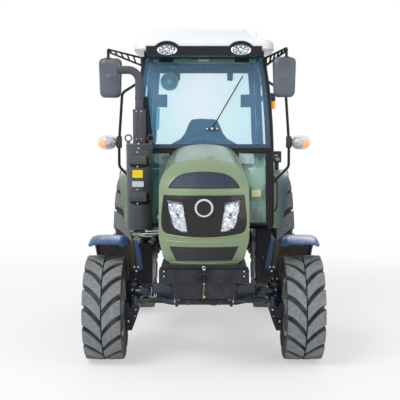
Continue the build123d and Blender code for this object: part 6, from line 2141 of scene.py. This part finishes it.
def make_fender_trim():
    """Rolled lips along the rear fenders, their rubber edge and the wash bolts."""
    lips, bolts = forms(2)
    r, z0 = 0.724, WHEEL_HEIGHT["rear"]
    def at(side, x, radius, degrees):
        a = math.radians(degrees)
        return Vector((side * x, REAR_AXLE_Y + radius * math.cos(a), z0 + radius * math.sin(a)))
    for side in (1, -1):
        edge = []
        for k in range(41):
            d = 25.5 + 137 * k / 40
            y = at(side, 0, r, d).y
            z = at(side, 0, r, d).z
            x = 0.8295
            if y < REAR_AXLE_Y - 0.120:
                x = min(x, 0.708 + 0.122 * (z - z0 - 0.195) / (r - 0.195))
            edge.append(at(side, max(0.60, x) - 0.006, r - 0.012, d))
        lips.tube(edge, 0.0058, 8)
        for d in (40, 70, 100, 130):
            place = at(side, 0.470, r, d)
            way = Vector((0, math.cos(math.radians(d)), math.sin(math.radians(d))))
            bolts.dome(place, way, 0.009, 0.004)
    lips.piece("fender_lips", "rubber_seal")
    bolts.piece("fender_bolts", "bright_steel")


def make_rear_end():
    """Splined shaft and its guard, remote valves, hitch pins and clips, drawbar pin and rear plates."""
    steel, guard, caps, dust = forms(4)
    y, z = REAR_AXLE_Y, 0.560
    for c, s in around(6):
        steel.box((-0.0026, -0.0026, 0), (0.0026, 0.0026, 0.070), 0.0008, 1,
                  facing_back((0.0165 * c, y + 0.188, z + 0.0165 * s)))
    arc = []
    for k in range(17):
        a = math.pi * k / 16
        arc.append((0.098 * math.cos(a), z + 0.02 + 0.098 * math.sin(a)))
    flare = ((y + 0.152, 1.0), (y + 0.240, 1.0), (y + 0.262, 1.04))
    rows = [[(x * s, yy, zz) for x, zz in arc] for yy, s in flare]
    guard.strip(rows, thick=0.004)
    for c, s in around(6, 0.5):
        steel.bolt((0.056 * c, y + 0.175, z + 0.056 * s), (0, 1, 0), 0.012, 0.006)
    for k in range(4):
        x = -0.150 + 0.046 * k
        caps.lathe([(0, 0), (0, 0.016), (0.020, 0.016), (0.022, 0.019), (0.034, 0.019), (0.038, 0.014),
                    (0.038, 0)],
                   facing_back((x, y + 0.150, 0.920)), 20)
    dust.box((-0.180, y + 0.148, 0.890), (0.016, y + 0.156, 0.950), 0.003)
    for side in (1, -1):
        for dy, dz in ((-0.20, 0.47), (0.02, 0.47), (-0.20, 0.84), (0.02, 0.84), (0.12, 0.66)):
            steel.bolt((side * 0.2155, y + dy, dz), (side, 0, 0), 0.018, 0.009)
        for c, s in around(10):
            for x, r, way in ((0.449, 0.104, -side), (0.301, 0.112, side)):
                steel.bolt((side * x, y + r * c, WHEEL_HEIGHT["rear"] + r * s), (way, 0, 0), 0.014, 0.007)
    steel.lathe([(0, 0), (0, 0.0135), (0.060, 0.0135), (0.062, 0.020), (0.074, 0.020), (0.076, 0.014),
                 (0.076, 0)],
                upright((0, y + 0.520, 0.342)), 24)
    ring = [Vector((0.016 * c, y + 0.520, 0.430 + 0.014 * s)) for c, s in around(16)]
    steel.tube(ring, 0.0024, 6, closed=True)
    steel.piece("rear_end_steel", "bright_steel")
    guard.piece("shaft_guard", "yellow_plate")
    caps.piece("coupler_caps", "red_lens")
    dust.piece("coupler_block", "cast_paint")
    arms, links, rods = forms(3)
    rock = Vector((0, REAR_AXLE_Y + 0.175, 0.950))
    tip = Vector((0, rock.y + 0.258, rock.z + 0.032))
    for side in (1, -1):
        arms.lathe([(0, 0), (0, 0.034), (0.006, 0.034), (0.010, 0.026), (0.010, 0)],
                   along_x((side * 0.262, rock.y, rock.z), side), 28)
        arms.bolt((side * 0.270, rock.y, rock.z), (side, 0, 0), 0.022, 0.010)
        arms.lathe([(0, 0.0), (0, 0.016), (0.004, 0.016), (0.004, 0)],
                   along_x((side * 0.2785, tip.y, tip.z), side), 20)
        rods.lathe([(0.0, 0.0195), (0.004, 0.023), (0.018, 0.023), (0.022, 0.0195)],
                   frame_at((side * 0.266, tip.y - 0.10, tip.z - 0.250), (1, 0, 0), (0, -0.30, -1)), 24)
        links.lathe([(0, 0), (0, 0.026), (0.004, 0.026), (0.008, 0.020), (0.008, 0)],
                    along_x((side * 0.2485, REAR_AXLE_Y + 0.090, 0.500), side), 24)
        end = Vector((side * 0.360, REAR_AXLE_Y + 0.832, 0.470))
        links.lathe([(-0.0175, 0.0112), (-0.0175, 0.0205), (-0.010, 0.0245), (0.010, 0.0245),
                     (0.0175, 0.0205), (0.0175, 0.0112)], along_x(end, side), 28)
        links.bolt((side * 0.320, REAR_AXLE_Y + 0.62, 0.5075), (0, 0, 1), 0.016, 0.008)
    arms.piece("lift_arm_caps", "bright_steel", "lift_arms")
    rods.piece("lift_rod_collars", "bright_steel", "lift_rods")
    links.piece("lower_link_balls", "bright_steel", "lower_links")
    top = Form()
    for k in range(7):
        zz = 0.925 + 0.045 * k
        top.lathe([(0, 0.0195), (0.004, 0.0222), (0.010, 0.0222), (0.014, 0.0195)],
                  frame_at((0, REAR_AXLE_Y + 0.280, zz), (1, 0, 0), (0, 0.02, 1)), 24)
    top.tube([(0.0, REAR_AXLE_Y + 0.298, 1.06), (0.0, REAR_AXLE_Y + 0.330, 1.06),
              (0.0, REAR_AXLE_Y + 0.330, 1.13)], 0.005, 8)
    top.piece("top_link_collars", "bright_steel")


def make_rear_glass_trim():
    """Seal, handle and hinges of the rear window."""
    seal, handle = forms(2)
    z0, z1 = 1.398, 2.394

    def rear(z):
        return 1.135 + (1.095 - 1.135) * (z - 1.300) / 1.110

    left = [(-(plane_half(z) - 0.018), z) for z in evenly(z0, z1, 14)]
    loop = [Vector((x, rear(z) + 0.0065, z)) for x, z in left + [(-x, z) for x, z in reversed(left)]]
    seal.tube(dense3(loop, 0.08), 0.006, 6, closed=True)
    seal.piece("rear_glass_seal", "rubber_seal")
    handle.tube([(-0.06, rear(1.46) + 0.006, 1.455), (-0.05, rear(1.46) + 0.022, 1.455),
                 (0.05, rear(1.46) + 0.022, 1.455), (0.06, rear(1.46) + 0.006, 1.455)], 0.006, 8)
    for side in (1, -1):
        for x in (0.42, 0.46):
            handle.dome((side * x, rear(2.35) + 0.006, 2.345), (0, 1, 0), 0.010, 0.005)
    handle.piece("rear_glass_fittings", "dark_plastic")


make_wiper_trim()
make_heat_plate()
make_rear_lamps()
make_fender_trim()
make_rear_end()
make_rear_glass_trim()


# ---------------------------------------------------------------- engine side, tank and steps
def make_engine_detail():
    """Ribs, filters, pulleys, pipes and bolts on the engine block below the hood."""
    ribs, filters, steel, hoses = forms(4)
    y = FRONT_AXLE_Y
    for side in (1, -1):
        for k in range(5):
            yy = y + 0.235 + 0.085 * k
            ribs.box((side * 0.207 - 0.006, yy, 0.650), (side * 0.207 + 0.006, yy + 0.012, 0.885), 0.004)
        for zz in (0.660, 0.770, 0.880):
            ribs.box((side * 0.207 - 0.004, y + 0.215, zz - 0.005),
                     (side * 0.207 + 0.004, y + 0.630, zz + 0.005), 0.003)
        for k in range(7):
            steel.bolt((side * 0.151, y + 0.225 + 0.065 * k, 0.632), (side, 0, 0), 0.012, 0.006)
            steel.bolt((side * 0.1655, y + 0.150 + 0.075 * k, 1.105), (side, 0, 0), 0.012, 0.006)
    filters.lathe([(0, 0), (0, 0.040), (0.010, 0.044), (0.110, 0.044), (0.120, 0.038), (0.124, 0.0)],
                  upright((0.262, y + 0.300, 0.730)), 32)
    filters.lathe([(0, 0), (0, 0.036), (0.010, 0.040), (0.090, 0.040), (0.100, 0.034), (0.104, 0.0)],
                  upright((0.258, y + 0.420, 0.740)), 32)
    filters.box((0.200, y + 0.250, 0.845), (0.300, y + 0.470, 0.875), 0.006, 3)
    filters.lathe([(0, 0), (0, 0.050), (0.020, 0.058), (0.150, 0.058), (0.165, 0.048), (0.170, 0.0)],
                  facing_back((-0.262, y + 0.300, 0.760)), 36)
    filters.lathe([(0, 0), (0, 0.090), (0.006, 0.094), (0.012, 0.090), (0.018, 0.094), (0.024, 0.090),
                   (0.024, 0)],
                  frame_at((0, y + 0.200, 0.720), (1, 0, 0), (0, -1, 0)), 40)
    for side, z0 in ((1, 0.93), (-1, 0.91)):
        route = [(side * 0.22, y + 0.10, z0), (side * 0.245, y + 0.20, z0 - 0.02),
                 (side * 0.240, y + 0.34, z0 - 0.01),
                 (side * 0.21, y + 0.46, z0 + 0.02)]
        hoses.tube(smooth_path(route, 6), 0.014, 10)
    ribs.piece("engine_ribs", "cast_paint")
    filters.piece("engine_filters", "chassis_paint")
    steel.piece("engine_bolts", "bright_steel")
    hoses.piece("engine_hoses", "rubber_seal")


def make_tank_and_steps():
    """Tank's straps and cap, grips and bolts of the steps, and the grab rail."""
    straps, cap, tread, steel = forms(4)
    for yy in (-0.28, 0.02):
        loop = [(-0.602, yy, 0.47), (-0.602, yy, 0.73), (-0.585, yy, 0.782), (-0.53, yy, 0.8025),
                (-0.47, yy, 0.8015), (-0.440, yy, 0.775)]
        points = smooth_path([(min(-0.4405, max(-0.5995, x)), y, z) for x, y, z in loop], 5)
        straps.tube(points, 0.004, 6)
    cap.lathe([(0, 0), (0, 0.036), (0.006, 0.040), (0.030, 0.040), (0.036, 0.034), (0.038, 0.0)],
              upright((-0.520, -0.330, 0.832)), 12)
    straps.piece("tank_straps", "bright_steel")
    cap.piece("tank_cap", "dark_plastic")
    for z in (0.408, 0.652):
        for i in range(7):
            for j in range(12):
                tread.lathe([(0, 0.0070), (0.003, 0.0055), (0.003, 0.0030), (0, 0.0030)],
                            upright((0.470 + 0.0215 * i, -0.138 + 0.0240 * j, z)), 6)
        tread.box((0.6035, -0.150, z - 0.012), (0.6095, 0.140, z + 0.010), 0.002)
    for yy in (-0.150, 0.140):
        for z in (0.402, 0.646):
            steel.bolt((0.52, yy, z), (0, -1 if yy < 0 else 1, 0), 0.014, 0.007)
            steel.bolt((0.56, yy, z), (0, -1 if yy < 0 else 1, 0), 0.014, 0.007)
    tread.piece("step_grips", "chassis_paint")
    steel.piece("step_bolts", "bright_steel")
    rail = Form()
    points = [(0.612, -0.150, 1.05), (0.640, -0.160, 1.10), (0.640, -0.160, 1.30), (0.612, -0.150, 1.36)]
    rail.tube(smooth_path(points, 5), 0.009, 10)
    rail.piece("grab_rail", "dark_plastic")


make_engine_detail()
make_tank_and_steps()
